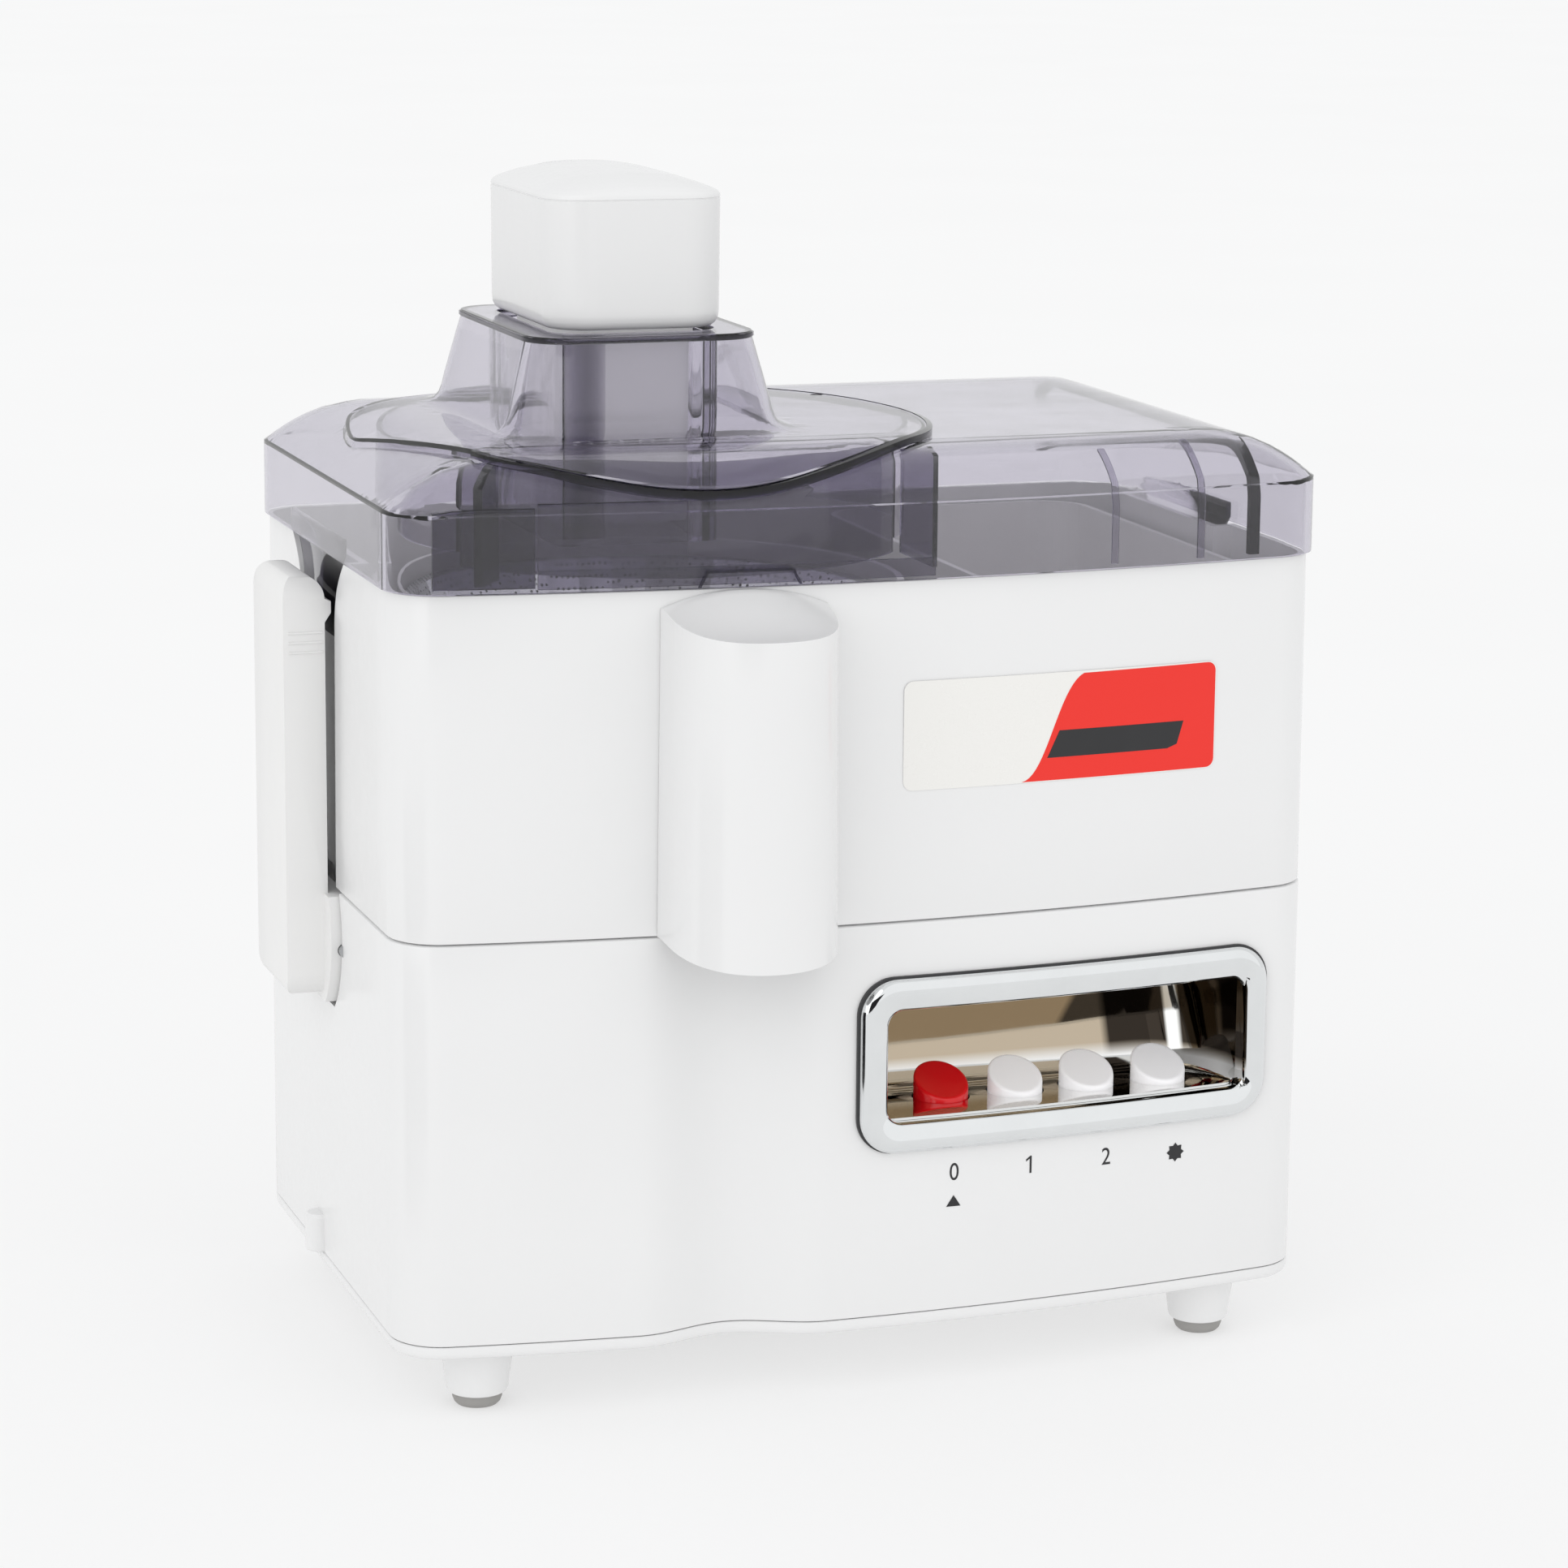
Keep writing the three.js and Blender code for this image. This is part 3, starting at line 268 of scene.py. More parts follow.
def smoky_plastic(name, density):
    """Clear smoky plastic: it refracts, and it takes up light along the way through it."""
    mat, tree, shader = new_material(name)
    wear = noise(tree, 70.0, 5.0, 0.6)
    color = tint_mix(tree, wear, (0.88, 0.87, 0.90), (0.93, 0.92, 0.95))
    surface(tree, shader, color, ramp_range(tree, wear, 0.012, 0.05))
    set_inputs(shader, Transmission_Weight=1.0, IOR=1.46)
    ripple = noise(tree, 30.0, 1.5)
    add_bump(tree, shader, ripple, 0.03, 0.002)
    absorb = tree.nodes.new("ShaderNodeVolumeAbsorption")
    set_inputs(absorb, Color=(0.50, 0.47, 0.58, 1), Density=density)
    tree.links.new(absorb.outputs["Volume"], tree.nodes["Material Output"].inputs["Volume"])
    return mat


WHITE = moulded("white_gloss_plastic", (0.81, 0.81, 0.81), (0.83, 0.83, 0.83), (0.16, 0.24), 0.015)
WHITE_SATIN = moulded("white_satin_plastic", (0.825, 0.822, 0.815), (0.845, 0.842, 0.835), (0.38, 0.48), 0.08)
RED = moulded("red_gloss_plastic", (0.80, 0.005, 0.010), (0.88, 0.008, 0.014), (0.14, 0.22), 0.02)
STEM_WHITE_PAINTED_GLOW = moulded("stem_plastic_painted_glow", (0.82, 0.82, 0.82), (0.84, 0.84, 0.84), (0.38, 0.48), 0.08)
BUTTON_WHITE_PAINTED_GLOW = moulded("button_plastic", (0.93, 0.92, 0.94), (0.96, 0.95, 0.97), (0.22, 0.32), 0.03)
# The stem and the buttons glow, and the buttons' white is lighter than the body's: painted light against the
# shade in the chute and in the recess.
glowing(STEM_WHITE_PAINTED_GLOW, 0.17)
glowing(BUTTON_WHITE_PAINTED_GLOW, 0.16)
CHROME = polished_metal("chrome_plating", (0.72, 0.735, 0.74), (0.80, 0.815, 0.82), (0.03, 0.08))
MIRROR = recess_mirror()
STEEL = polished_metal("plain_steel", (0.42, 0.43, 0.44), (0.55, 0.56, 0.57), (0.25, 0.4), 0.05)
COPPER = polished_metal("enamelled_copper", (0.50, 0.20, 0.09), (0.66, 0.30, 0.15), (0.25, 0.35), 0.1)
RUBBER = moulded("grey_rubber", (0.31, 0.302, 0.29), (0.37, 0.362, 0.35), (0.65, 0.85), 0.25, 700.0)
DARK = moulded("dark_plastic", (0.02, 0.02, 0.022), (0.035, 0.035, 0.037), (0.35, 0.5), 0.1)
OCHRE = moulded("capacitor_film", (0.50, 0.34, 0.07), (0.58, 0.40, 0.10), (0.3, 0.4))
MESH_STEEL = perforated_steel()
SMOKE = smoky_plastic("smoky_plastic", 120.0)
# The chute's tube gets a far clearer copy of the smoky plastic, so that the stem inside shows lighter:
# painted light.
SMOKE_TUBE_LIT = smoky_plastic("smoky_plastic_tube_lit", 18.0)
# A far darker copy of the smoky plastic for the walls that show through the lid: painted shade for the shaded
# inside under the lid.
SMOKE_SHADED = smoky_plastic("smoky_plastic_shaded", 1200.0)
# A near-opaque copy: on the step's edge, the chute's rim and the slot's edge its darkness is painted shade
# for the dark lines that the clear plastic shows there.
SMOKE_EDGE = smoky_plastic("smoky_plastic_edge", 6000.0)
INK = moulded("black_ink", (0.012, 0.012, 0.014), (0.02, 0.02, 0.022), (0.4, 0.5), 0.02)
LABEL_CREAM = moulded("label_cream", (0.84, 0.83, 0.80), (0.86, 0.85, 0.825), (0.25, 0.32), 0.02)
LABEL_RED = moulded("label_red", (0.84, 0.018, 0.008), (0.86, 0.021, 0.010), (0.3, 0.36), 0.02)


# ---- mesh helpers
def to_world(point):
    return Vector((point[0], point[1] + SHIFT_Y, point[2])) * MM


def link_object(name, data):
    obj = bpy.data.objects.new(name, data)
    bpy.context.scene.collection.objects.link(obj)
    return obj


def make_object(name, verts, faces, mat):
    mesh = bpy.data.meshes.new(name)
    mesh.from_pydata([to_world(v) for v in verts], [], faces)
    mesh.materials.append(mat)
    obj = link_object(name, mesh)
    tidy_mesh(obj)
    return obj


def tidy_mesh(obj):
    bm = bmesh.new()
    bm.from_mesh(obj.data)
    bmesh.ops.remove_doubles(bm, verts=bm.verts, dist=2e-6)
    bmesh.ops.dissolve_degenerate(bm, edges=bm.edges, dist=1e-6)
    bmesh.ops.recalc_face_normals(bm, faces=bm.faces)
    bm.to_mesh(obj.data)
    bm.free()


def apply_modifiers(obj):
    graph = bpy.context.evaluated_depsgraph_get()
    mesh = bpy.data.meshes.new_from_object(obj.evaluated_get(graph))
    obj.modifiers.clear()
    old = obj.data
    obj.data = mesh
    bpy.data.meshes.remove(old)


def smooth(obj, angle):
    """Smooth shading, with edges sharper than the angle kept crisp."""
    bm = bmesh.new()
    bm.from_mesh(obj.data)
    limit = math.radians(angle)
    for face in bm.faces:
        face.smooth = True
    for edge in bm.edges:
        if len(edge.link_faces) == 2:
            edge.smooth = edge.calc_face_angle(0.0) < limit
    bm.to_mesh(obj.data)
    bm.free()


def bevel(obj, width, segments=2, angle=35.0):
    mod = obj.modifiers.new("bevel", "BEVEL")
    mod.width = width * MM
    mod.segments = segments
    mod.limit_method = "ANGLE"
    mod.angle_limit = math.radians(angle)
    mod.use_clamp_overlap = True
    mod.miter_outer = "MITER_ARC"
    apply_modifiers(obj)


def thicken(obj, wall, offset=0.0, even=False):
    mod = obj.modifiers.new("wall", "SOLIDIFY")
    mod.thickness = wall * MM
    mod.offset = offset
    mod.use_even_offset = even
    apply_modifiers(obj)


def combine(obj, other, operation):
    mod = obj.modifiers.new("boolean", "BOOLEAN")
    mod.object = other
    mod.operation = operation
    mod.solver = "EXACT"
    apply_modifiers(obj)
    bpy.data.objects.remove(other)


def cut(obj, *tools):
    for tool in tools:
        combine(obj, tool, "DIFFERENCE")


def loft(name, rings, mat, caps=(True, True), loop=False):
    """Skins rings of points that all have the same count. loop joins the last ring to the first."""
    count = len(rings[0])
    verts = [p for ring in rings for p in ring]
    faces = []
    pairs = len(rings) if loop else len(rings) - 1
    for level in range(pairs):
        low = level * count
        high = ((level + 1) % len(rings)) * count
        for i in range(count):
            j = (i + 1) % count
            faces.append((low + i, low + j, high + j, high + i))
    if not loop and caps[0]:
        faces.append(tuple(reversed(range(count))))
    if not loop and caps[1]:
        faces.append(tuple(range((len(rings) - 1) * count, len(rings) * count)))
    return make_object(name, verts, faces, mat)


def at(points, z):
    return [(x, y, z) for x, y in points]


def box(x0, x1, y0, y1, z0, z1):
    ring = [(x0, y0), (x1, y0), (x1, y1), (x0, y1)]
    return loft("tool", [at(ring, z) for z in (z0, z1)], WHITE)


def turned(profile, x, y, mat, name="tool", steps=64):
    """A solid of revolution about a vertical axis, from [radius, z] pairs off the axis."""
    return loft(name, [at(arc(x, y, r, 0, TURN, steps), z) for r, z in profile], mat)


def prism_y(points, y0, y1, name="tool", mat=WHITE):
    return loft(name, [[(x, y, z) for x, z in points] for y in (y0, y1)], mat)


def rod_y(r, x, z, y0, y1, steps=32):
    return prism_y(arc(x, z, r, 0, TURN, steps), y0, y1)


def prism_x(points, sign, far, near, name="tool", mat=WHITE):
    """A side view given depth along x, on the left for sign -1 and on the right for 1."""
    return loft(name, [[(x, y, z) for y, z in points] for x in sorted((sign * far, sign * near))], mat)


def arc(cx, cy, r, start, end, steps, last=False):
    count = steps + 1 if last else steps
    angles = [start + (end - start) * i / steps for i in range(count)]
    return [(cx + r * math.cos(a), cy + r * math.sin(a)) for a in angles]


def line(a, b, steps):
    return [(a[0] + (b[0] - a[0]) * i / steps, a[1] + (b[1] - a[1]) * i / steps) for i in range(steps)]


def bezier(a, b, c, d, steps):
    def point(t):
        k = ((1 - t) ** 3, 3 * t * (1 - t) ** 2, 3 * t * t * (1 - t), t ** 3)
        return tuple(k[0] * p + k[1] * q + k[2] * r + k[3] * s for p, q, r, s in zip(a, b, c, d))
    return [point(i / steps) for i in range(steps)]


def rounded_rect(x0, x1, y0, y1, r, corner=8, side=1):
    centres = ((x1 - r, y0 + r), (x1 - r, y1 - r), (x0 + r, y1 - r), (x0 + r, y0 + r))
    points = []
    for i, (cx, cy) in enumerate(centres):
        start = -HALF_PI + i * HALF_PI
        points += arc(cx, cy, r, start, start + HALF_PI, corner)
        turn = start + HALF_PI
        end = (cx + r * math.cos(turn), cy + r * math.sin(turn))
        nx, ny = centres[(i + 1) % 4]
        nxt = (nx + r * math.cos(turn), ny + r * math.sin(turn))
        points += line(end, nxt, side)
    return points


def scoop_at(x):
    if abs(x - SCOOP_X) >= SCOOP_HALF:
        return 0.0
    return SCOOP_DEPTH / 2 * (1 + math.cos(math.pi * (x - SCOOP_X) / SCOOP_HALF))


def outline(offset, scoop=False, front=96, rear=24, ends=12, corner=12):
    """The body's plan, drawn in by an offset: bowed front, flat ends, round corners."""
    r = max(CORNER_R - offset, 0.8)
    cx = BODY_W / 2 - offset - r
    cy = REAR_Y - offset - r
    bow = math.asin(cx / (FRONT_R - offset - r))
    centre = -cy + (FRONT_R - offset - r) * math.cos(bow)
    points = arc(0, centre, FRONT_R - offset, -HALF_PI - bow, -HALF_PI + bow, front)
    if scoop:
        points = [(x, y + scoop_at(x)) for x, y in points]
    points += arc(cx, -cy, r, -HALF_PI + bow, 0, corner)
    points += line((cx + r, -cy), (cx + r, cy), ends)
    points += arc(cx, cy, r, 0, HALF_PI, corner)
    points += line((cx, cy + r), (-cx, cy + r), rear)
    points += arc(-cx, cy, r, HALF_PI, math.pi, corner)
    points += line((-cx - r, cy), (-cx - r, -cy), ends)
    points += arc(-cx, -cy, r, math.pi, 1.5 * math.pi - bow, corner)
    return points


def body_block(name, levels, mat, scoop=False):
    """levels are [z, offset] pairs, bottom to top."""
    return loft(name, [at(outline(offset, scoop), z) for z, offset in levels], mat)


def keep(obj, body, slot, *nodes, crease=32.0):
    """Finishes a piece: its shading, the body that it rides on and the CAD nodes it stands for. The slot is
    not used.
    """
    if crease:
        smooth(obj, crease)
    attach(obj, body)
    if nodes:
        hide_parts(*nodes)


def mirror_points(points):
    return [(-x, y) for x, y in reversed(points)]


def inside(point, polygon):
    x, z = point
    hit = False
    for (x0, z0), (x1, z1) in zip(polygon, polygon[1:] + polygon[:1]):
        if (z0 > z) != (z1 > z) and x < (x1 - x0) * (z - z0) / (z1 - z0) + x0:
            hit = not hit
    return hit


def min_distance(p, loop):
    return min(math.hypot(p[0] - q[0], p[1] - q[1]) for q in loop)


def near_loops(p, loops, limit):
    return any(min_distance(p, loop) < limit for loop in loops)


def sideways(path, i):
    """Unit direction across a path at its point i, to the right of travel."""
    ax, ay = path[max(i - 1, 0)]
    bx, by = path[min(i + 1, len(path) - 1)]
    length = math.hypot(bx - ax, by - ay)
    return (by - ay) / length, -(bx - ax) / length


# ---- base
def make_bottom_cover():
    """The base plate, with a stub over each foot pad and a row of vents under the motor."""
    levels = [(BASE_Z, 2.2), (BASE_Z + 0.25, 1.2), (BASE_Z + 0.8, 0.5), (BASE_Z + 1.7, 0.1),
              (BASE_Z + 2.4, 0.0), (COVER_TOP - 0.3, 0.0), (COVER_TOP, 0.35)]
    stub = [(8.3, 8.8), (8.3, 4.3), (8.7, 4.2), (9.3, 4.6), (9.7, 5.6), (9.85, 7.0), (11.6, BASE_Z - 0.8),
            (12.4, BASE_Z + 0.3), (12.4, BASE_Z + 1.5), (4.0, BASE_Z + 1.5), (4.0, 8.8)]
    cover = body_block("bottom_cover_shell", levels, WHITE, scoop=True)
    for x in (-FOOT_X, FOOT_X):
        for y in (-FOOT_Y, FOOT_Y):
            combine(cover, turned(stub, x, y, WHITE), "UNION")
    for i in range(-3, 4):
        vent_x = DRIVE_X + 9 * i
        cut(cover, box(vent_x - 2, vent_x + 2, -26, 26, BASE_Z - 1, COVER_TOP + 1))
    keep(cover, "base", "white_plastic", "bottom_cover")


def make_foot_pads():
    profile = [(0.3, 0.9), (4.0, 0.8), (4.6, 0.1), (5.6, 0.0), (6.4, 0.2), (7.2, 1.0), (7.75, 2.4),
               (7.95, 4.0), (8.0, 8.3), (0.3, 8.3)]
    for side, x in (("left", -FOOT_X), ("right", FOOT_X)):
        for end, y in (("front", -FOOT_Y), ("rear", FOOT_Y)):
            name = f"foot_pad_{end}_{side}"
            pad = turned(profile, x, y, RUBBER, name + "_rubber")
            keep(pad, "base", "foot_rubber", name, crease=50)


def make_base_housing():
    """The lower shell, with a walled pocket for each clamp's pivot and a lug inside each end."""
    levels = [(COVER_TOP + 0.25, 0.45), (COVER_TOP + 0.5, 0.1), (COVER_TOP + 0.9, 0.0), (60.0, 0.0),
              (110.0, 0.0), (150.1, 0.0), (150.5, 0.12), (150.7, 0.5)]
    lug = [(0.2, 25.4), (4.6, 25.4), (5.0, 25.9), (5.0, 36.6), (4.2, 37.8), (2.5, 38.0), (0.2, 38.0)]
    shell = body_block("base_housing_shell", levels, WHITE, scoop=True)
    cavity = body_block("tool", [(COVER_TOP, 3.0), (146.7, 3.0)], WHITE, scoop=True)
    cut(shell, cavity)
    for sign in (-1, 1):
        wall = pivot_outline(33.4, POCKET_FLOOR - 2.4, 147.5)
        pocket = pivot_outline(31.0, POCKET_FLOOR, SEAM_Z + 1)
        combine(shell, prism_x(wall, sign, 148.8, 136.1), "UNION")
        combine(shell, turned(lug, sign * BODY_W / 2, 14.0, WHITE, steps=40), "UNION")
        cut(shell, prism_x(pocket, sign, 160, 138.5))
    x0, x1 = WINDOW[:2]
    cut(shell, box(x0 - 1.8, x1 + 1.8, -110, -85, 84, 125.6))
    cut(shell, turned([(16, 146), (16, 152)], DRIVE_X, 0, WHITE))
    cut(shell, rod_y(6.2, 96, 46, REAR_Y - 6, REAR_Y + 1))
    keep(shell, "base", "white_plastic", "base_housing")


# ---- control panel
def panel_path(rect, corner=14, side=40):
    x0, x1, z0, z1, r = rect
    return rounded_rect(x0, x1, z0, z1, r, corner, side)


def make_bezel():
    """A swept chrome band: each step of its section goes from the outer edge to the window."""
    outer = panel_path(PANEL)
    inner = panel_path(WINDOW)
    section = [(0.0, 0.25), (0.0, 0.8), (0.02, 1.6), (0.06, 2.35), (0.12, 2.95), (0.19, 3.4), (0.27, 3.7),
               (0.37, 3.85), (0.48, 3.8), (0.6, 3.55), (0.74, 3.05), (0.88, 2.4), (0.97, 1.8), (1.0, 1.2),
               (1.0, -2.2), (0.97, -2.2), (0.9, 0.25)]
    rings = []
    for across, proud in section:
        ring = []
        for (ax, az), (bx, bz) in zip(outer, inner):
            x = ax + (bx - ax) * across
            z = az + (bz - az) * across
            ring.append((x, front_y(x) - proud, z))
        rings.append(ring)
    bezel = loft("panel_bezel_chrome", rings, CHROME, loop=True)
    keep(bezel, "base", "chrome_trim", "panel_bezel", crease=40)
    # A dark ring of painted shade round the chrome.
    make_painted_shadow_line()


def make_painted_shadow_line():
    """A dark ring round the chrome's outer edge: painted shade for the shadow gap, which shows as a fine line
    round the chrome, widest at the left and at the top.
    """
    x0, x1, z0, z1, r = PANEL
    wide = panel_path((x0 - 0.65, x1 + 0.15, z0 + 0.1, z1 + 0.5, r))
    narrow = panel_path((x0 + 1, x1 - 1, z0 + 1, z1 - 1, r - 1))
    rings = [[(x, front_y(x) - proud, z) for x, z in path]
             for path, proud in ((wide, 0.06), (wide, 1.1), (narrow, 1.1), (narrow, 0.06))]
    shadow_line = loft("panel_painted_shadow_line", rings, DARK, loop=True)
    keep(shadow_line, "base", "dark_plastic", crease=40)


def tray_profile():
    """Side view of the mirror recess: floor, a back wall that leans away, and a cove up to the ceiling."""
    foot = (-73.2, TRAY_FLOOR)
    shoulder = (-65.5, TRAY_FLOOR + 8.5)
    knee = (-58.5, TRAY_FLOOR + 25.5)
    points = [(TRAY_FRONT, TRAY_FLOOR), (-86.0, TRAY_FLOOR)]
    points += bezier(foot, (foot[0] + 4.0, foot[1]), (shoulder[0] - 1.6, shoulder[1] - 3.8), shoulder, 12)
    points += line(shoulder, knee, 6)
    top = (knee[0] - 10.0, TRAY_CEILING)
    points += bezier(knee, (knee[0] + 2.5, knee[1] + 6.5), (knee[0] - 2.0, TRAY_CEILING), top, 14)
    return points + [top, (TRAY_FRONT, TRAY_CEILING)]


def make_tray():
    """The mirror recess. Its right end closes in a quarter round that sweeps into the back wall."""
    inner = tray_profile()
    x0, x1 = WINDOW[0] + 0.3, WINDOW[1] - 0.3
    sweep, straight_steps, sweep_steps = 26.0, 24, 18

    def row(x, pull):
        """The side view at x, with its back pulled forwards by a share of its depth."""
        points = []
        for y, z in inner:
            if y <= TRAY_FRONT:
                points.append((x, front_y(x) + 2.4, z))
            else:
                points.append((x, y + (TRAY_FRONT - y) * pull, z))
        return points

    rows = [row(x0 + (x1 - sweep - x0) * i / straight_steps, 0.0) for i in range(straight_steps + 1)]
    for i in range(1, sweep_steps + 1):
        angle = HALF_PI * i / sweep_steps
        rows.append(row(x1 - sweep + sweep * math.sin(angle), 0.93 * (1 - math.cos(angle))))
    verts = [p for r in rows for p in r]
    count = len(inner)
    faces = []
    for a in range(len(rows) - 1):
        for i in range(count - 1):
            faces.append((a * count + i, a * count + i + 1, (a + 1) * count + i + 1, (a + 1) * count + i))
    for a in (0, len(rows) - 1):
        faces.append(tuple(range(a * count, (a + 1) * count)))
    tray = make_object("panel_tray_mirror", verts, faces, MIRROR)
    thicken(tray, 1.2, -1.0)
    for _, x in BUTTONS:
        cut(tray, turned([(BUTTON_R + 0.5, 80), (BUTTON_R + 0.5, 92)], x, BUTTON_Y, MIRROR))
    keep(tray, "base", "chrome_trim", "panel_tray", crease=30)


def make_buttons():
    """Short posts whose tops slope to the front and are hollowed for the fingertip."""
    for name, x in BUTTONS:
        def side_ring(r, z):
            return at(arc(x, BUTTON_Y, r, 0, TURN, 72), z)

        def top_ring(r, drop=0.0):
            points = []
            for px, py in arc(x, BUTTON_Y, r, 0, TURN, 72):
                slope = BUTTON_TOP + BUTTON_DISH + (py - BUTTON_Y) * BUTTON_SLOPE
                spread = ((px - x) ** 2 + (py - BUTTON_Y) ** 2) / BUTTON_R ** 2
                points.append((px, py, slope - BUTTON_DISH * (1 - spread) - drop))
            return points

        rings = [side_ring(3.0, 74.0), side_ring(3.0, 82.0), side_ring(BUTTON_R - 0.4, 82.4),
                 side_ring(BUTTON_R, 82.9), side_ring(BUTTON_R, 84.6)]
        rings += [top_ring(BUTTON_R, 1.0), top_ring(BUTTON_R - 0.12, 0.45), top_ring(BUTTON_R - 0.45, 0.12)]
        rings += [top_ring(r) for r in (BUTTON_R - 0.9, 7.4, 5.6, 3.6, 1.8, 0.5)]
        red = name == "button_off"
        piece = loft(name + "_cap", rings, RED if red else BUTTON_WHITE_PAINTED_GLOW)
        body = "key_" + name.split("_")[1]
        keep(piece, body, "red_plastic" if red else "button_plastic", name, crease=50)


# ---- printed marks and the blank label
def split_long(points, limit=2.0):
    """Adds points along the outline so that it can follow the bow."""
    full = []
    for a, b in zip(points, points[1:] + points[:1]):
        full += line(a, b, max(1, math.ceil(math.dist(a, b) / limit)))
    return full


def flat_mark(name, outline_points, mat, body, slot, base_offset=0.0, thickness=0.05):
    """A thin printed or stuck shape which follows the bowed front."""
    step = 4.0
    outline_points = split_long(outline_points)
    xs = [p[0] for p in outline_points]
    zs = [p[1] for p in outline_points]
    n = len(outline_points)
    points = [Vector(p) for p in outline_points]
    x = min(xs) + step
    while x < max(xs):
        z = min(zs) + step
        while z < max(zs):
            if inside((x, z), outline_points):
                points.append(Vector((x, z)))
            z += step
        x += step
    edges = [(i, (i + 1) % n) for i in range(n)]
    verts, _, faces, *_ = delaunay_2d_cdt(points, edges, [list(range(n))], 1, 1e-4)
    solid = [(v.x, front_y(v.x) + base_offset - PRINT_LIFT - thickness, v.y) for v in verts]
    obj = make_object(name, solid, [tuple(f) for f in faces], mat)
    thicken(obj, thickness)
    keep(obj, body, slot)
    return obj


def make_digit(text, x, z, height):
    """A digit in Blender's own font, laid on the bowed front."""
    curve = bpy.data.curves.new("digit", "FONT")
    curve.body = text
    curve.size = height * MM * 1.42
    curve.align_x = "CENTER"
    temp = link_object("digit", curve)
    graph = bpy.context.evaluated_depsgraph_get()
    mesh = bpy.data.meshes.new_from_object(temp.evaluated_get(graph))
    bpy.data.objects.remove(temp)
    for vert in mesh.vertices:
        px = x * MM + vert.co.x * 0.86
        py = (front_y(px / MM) + SHIFT_Y - PRINT_LIFT) * MM
        vert.co = Vector((px, py, (z - height / 2) * MM + vert.co.y))
    mesh.materials.clear()
    mesh.materials.append(INK)
    obj = link_object("mark_digit_" + text, mesh)
    thicken(obj, 0.05)
    keep(obj, "base", "dark_plastic", crease=None)


def make_marks():
    """The marks under the buttons: 0, 1, 2, a toothed star, and a triangle below the 0."""
    for text, x, z in (("0", 24.5, 69.9), ("2", 76.9, 69.5)):
        make_digit(text, x, z, 5.6)
    one = [(0.3, -2.8), (0.95, -2.8), (0.95, 2.8), (0.5, 2.8), (-0.95, 1.7), (-0.95, 1.05), (0.3, 1.95)]
    flat_mark("mark_digit_1", [(49.9 + x, 69.6 + z) for x, z in one], INK, "base", "dark_plastic")
    star = []
    for i in range(16):
        r = 3.1 if i % 2 == 0 else 2.25
        angle = math.pi * i / 8
        star.append((101.7 + r * math.cos(angle), 67.9 + r * math.sin(angle)))
    flat_mark("mark_star", star, INK, "base", "dark_plastic")
    flat_mark("mark_triangle", [(22.0, 58.6), (26.8, 58.6), (24.4, 62.2)], INK, "base", "dark_plastic")


def make_label():
    """A blank two-colour sticker on the upper front: cream at the left, red with a black bar at the right."""
    x0, x1, r = 5.7, 112.0, 3.0
    z0, z1 = 192.0, 226.0
    whole = rounded_rect(x0, x1, z0, z1, r, 6, 1)
    flat_mark("label_base", whole, LABEL_CREAM, "juice_unit", "white_plastic", 0.5, 0.06)
    split = bezier((45.0, z0 + 0.3), (54.0, z0 + 1.5), (57.0, z1 - 1.5), (67.0, z1 - 0.3), 20)
    right = split + [(x1 - r, z1 - 0.3)] + arc(x1 - r, z1 - r, r - 0.3, HALF_PI, 0, 6, last=True)
    right += arc(x1 - r, z0 + r, r - 0.3, 0, -HALF_PI, 6, last=True)
    flat_mark("label_red_field", list(reversed(right)), LABEL_RED, "juice_unit", "red_plastic", 0.42, 0.05)
    bar = [(53.5, 199.4), (95.0, 199.4), (98.4, 200.6), (100.6, 207.8), (57.5, 207.8)]
    flat_mark("label_dark_bar", bar, INK, "juice_unit", "dark_plastic", 0.35, 0.05)


# ---- juice housing and spout
def both_sides(half, middle):
    """Half an outline, followed by its mirror image about a middle line."""
    return half + [(2 * middle - a, b) for a, b in reversed(half)]


def recess_outline():
    """Side view of the recess for a clamp's arm, flared at its top."""
    front = ARM_Y - POCKET_HALF
    flare = (front - 15, HOUSING_TOP + 1.5)
    half = [(front, SEAM_Z - 2)] + bezier((front, 236.0), (front - 1, 247.0), (front - 6, 251.0), flare, 10)
    return both_sides(half + [flare], ARM_Y)


def make_juice_housing():
    """The upper shell, drawn in a little towards its top, with a backed recess in each end."""
    levels = [(151.3, 0.8), (151.5, 0.45), (151.9, HOUSING_INSET), (180.0, 0.47), (220.0, 0.68), (256.5, 0.9),
              (256.85, 1.0), (HOUSING_TOP, 1.3)]
    shell = body_block("juice_housing_shell", levels, WHITE)
    cut(shell, body_block("tool", [(154.3, 3.2), (258.0, 3.6)], WHITE))
    side = POCKET_HALF + 16
    for sign in (-1, 1):
        x0, x1 = sorted((sign * 148.5, sign * 140.1))
        combine(shell, box(x0, x1, ARM_Y - side, ARM_Y + side, 151.9, 256.9), "UNION")
        cut(shell, prism_x(recess_outline(), sign, 160, 142.5))
    cut(shell, box(SPOUT_X - 17, SPOUT_X + 17, -106, -96, 176, 216))
    cut(shell, turned([(24, 150), (24, 156)], DRIVE_X, 0, WHITE))
    keep(shell, "juice_unit", "white_plastic", "juice_housing")


def spout_plan(inset, steps=20):
    """The hood in plan: straight sides from the body, and a round nose."""
    side = SPOUT_X - 27.0 + inset
    nose = -138.3 + inset
    left = [(side, -96.0)] + line((side, -100.0), (side + 1, -113.0), 4)
    left += bezier((side + 1, -113.0), (side + 3, nose + 7), (SPOUT_X - 13, nose), (SPOUT_X, nose), steps)
    return left + [(SPOUT_X, nose)] + [(2 * SPOUT_X - x, y) for x, y in reversed(left)]


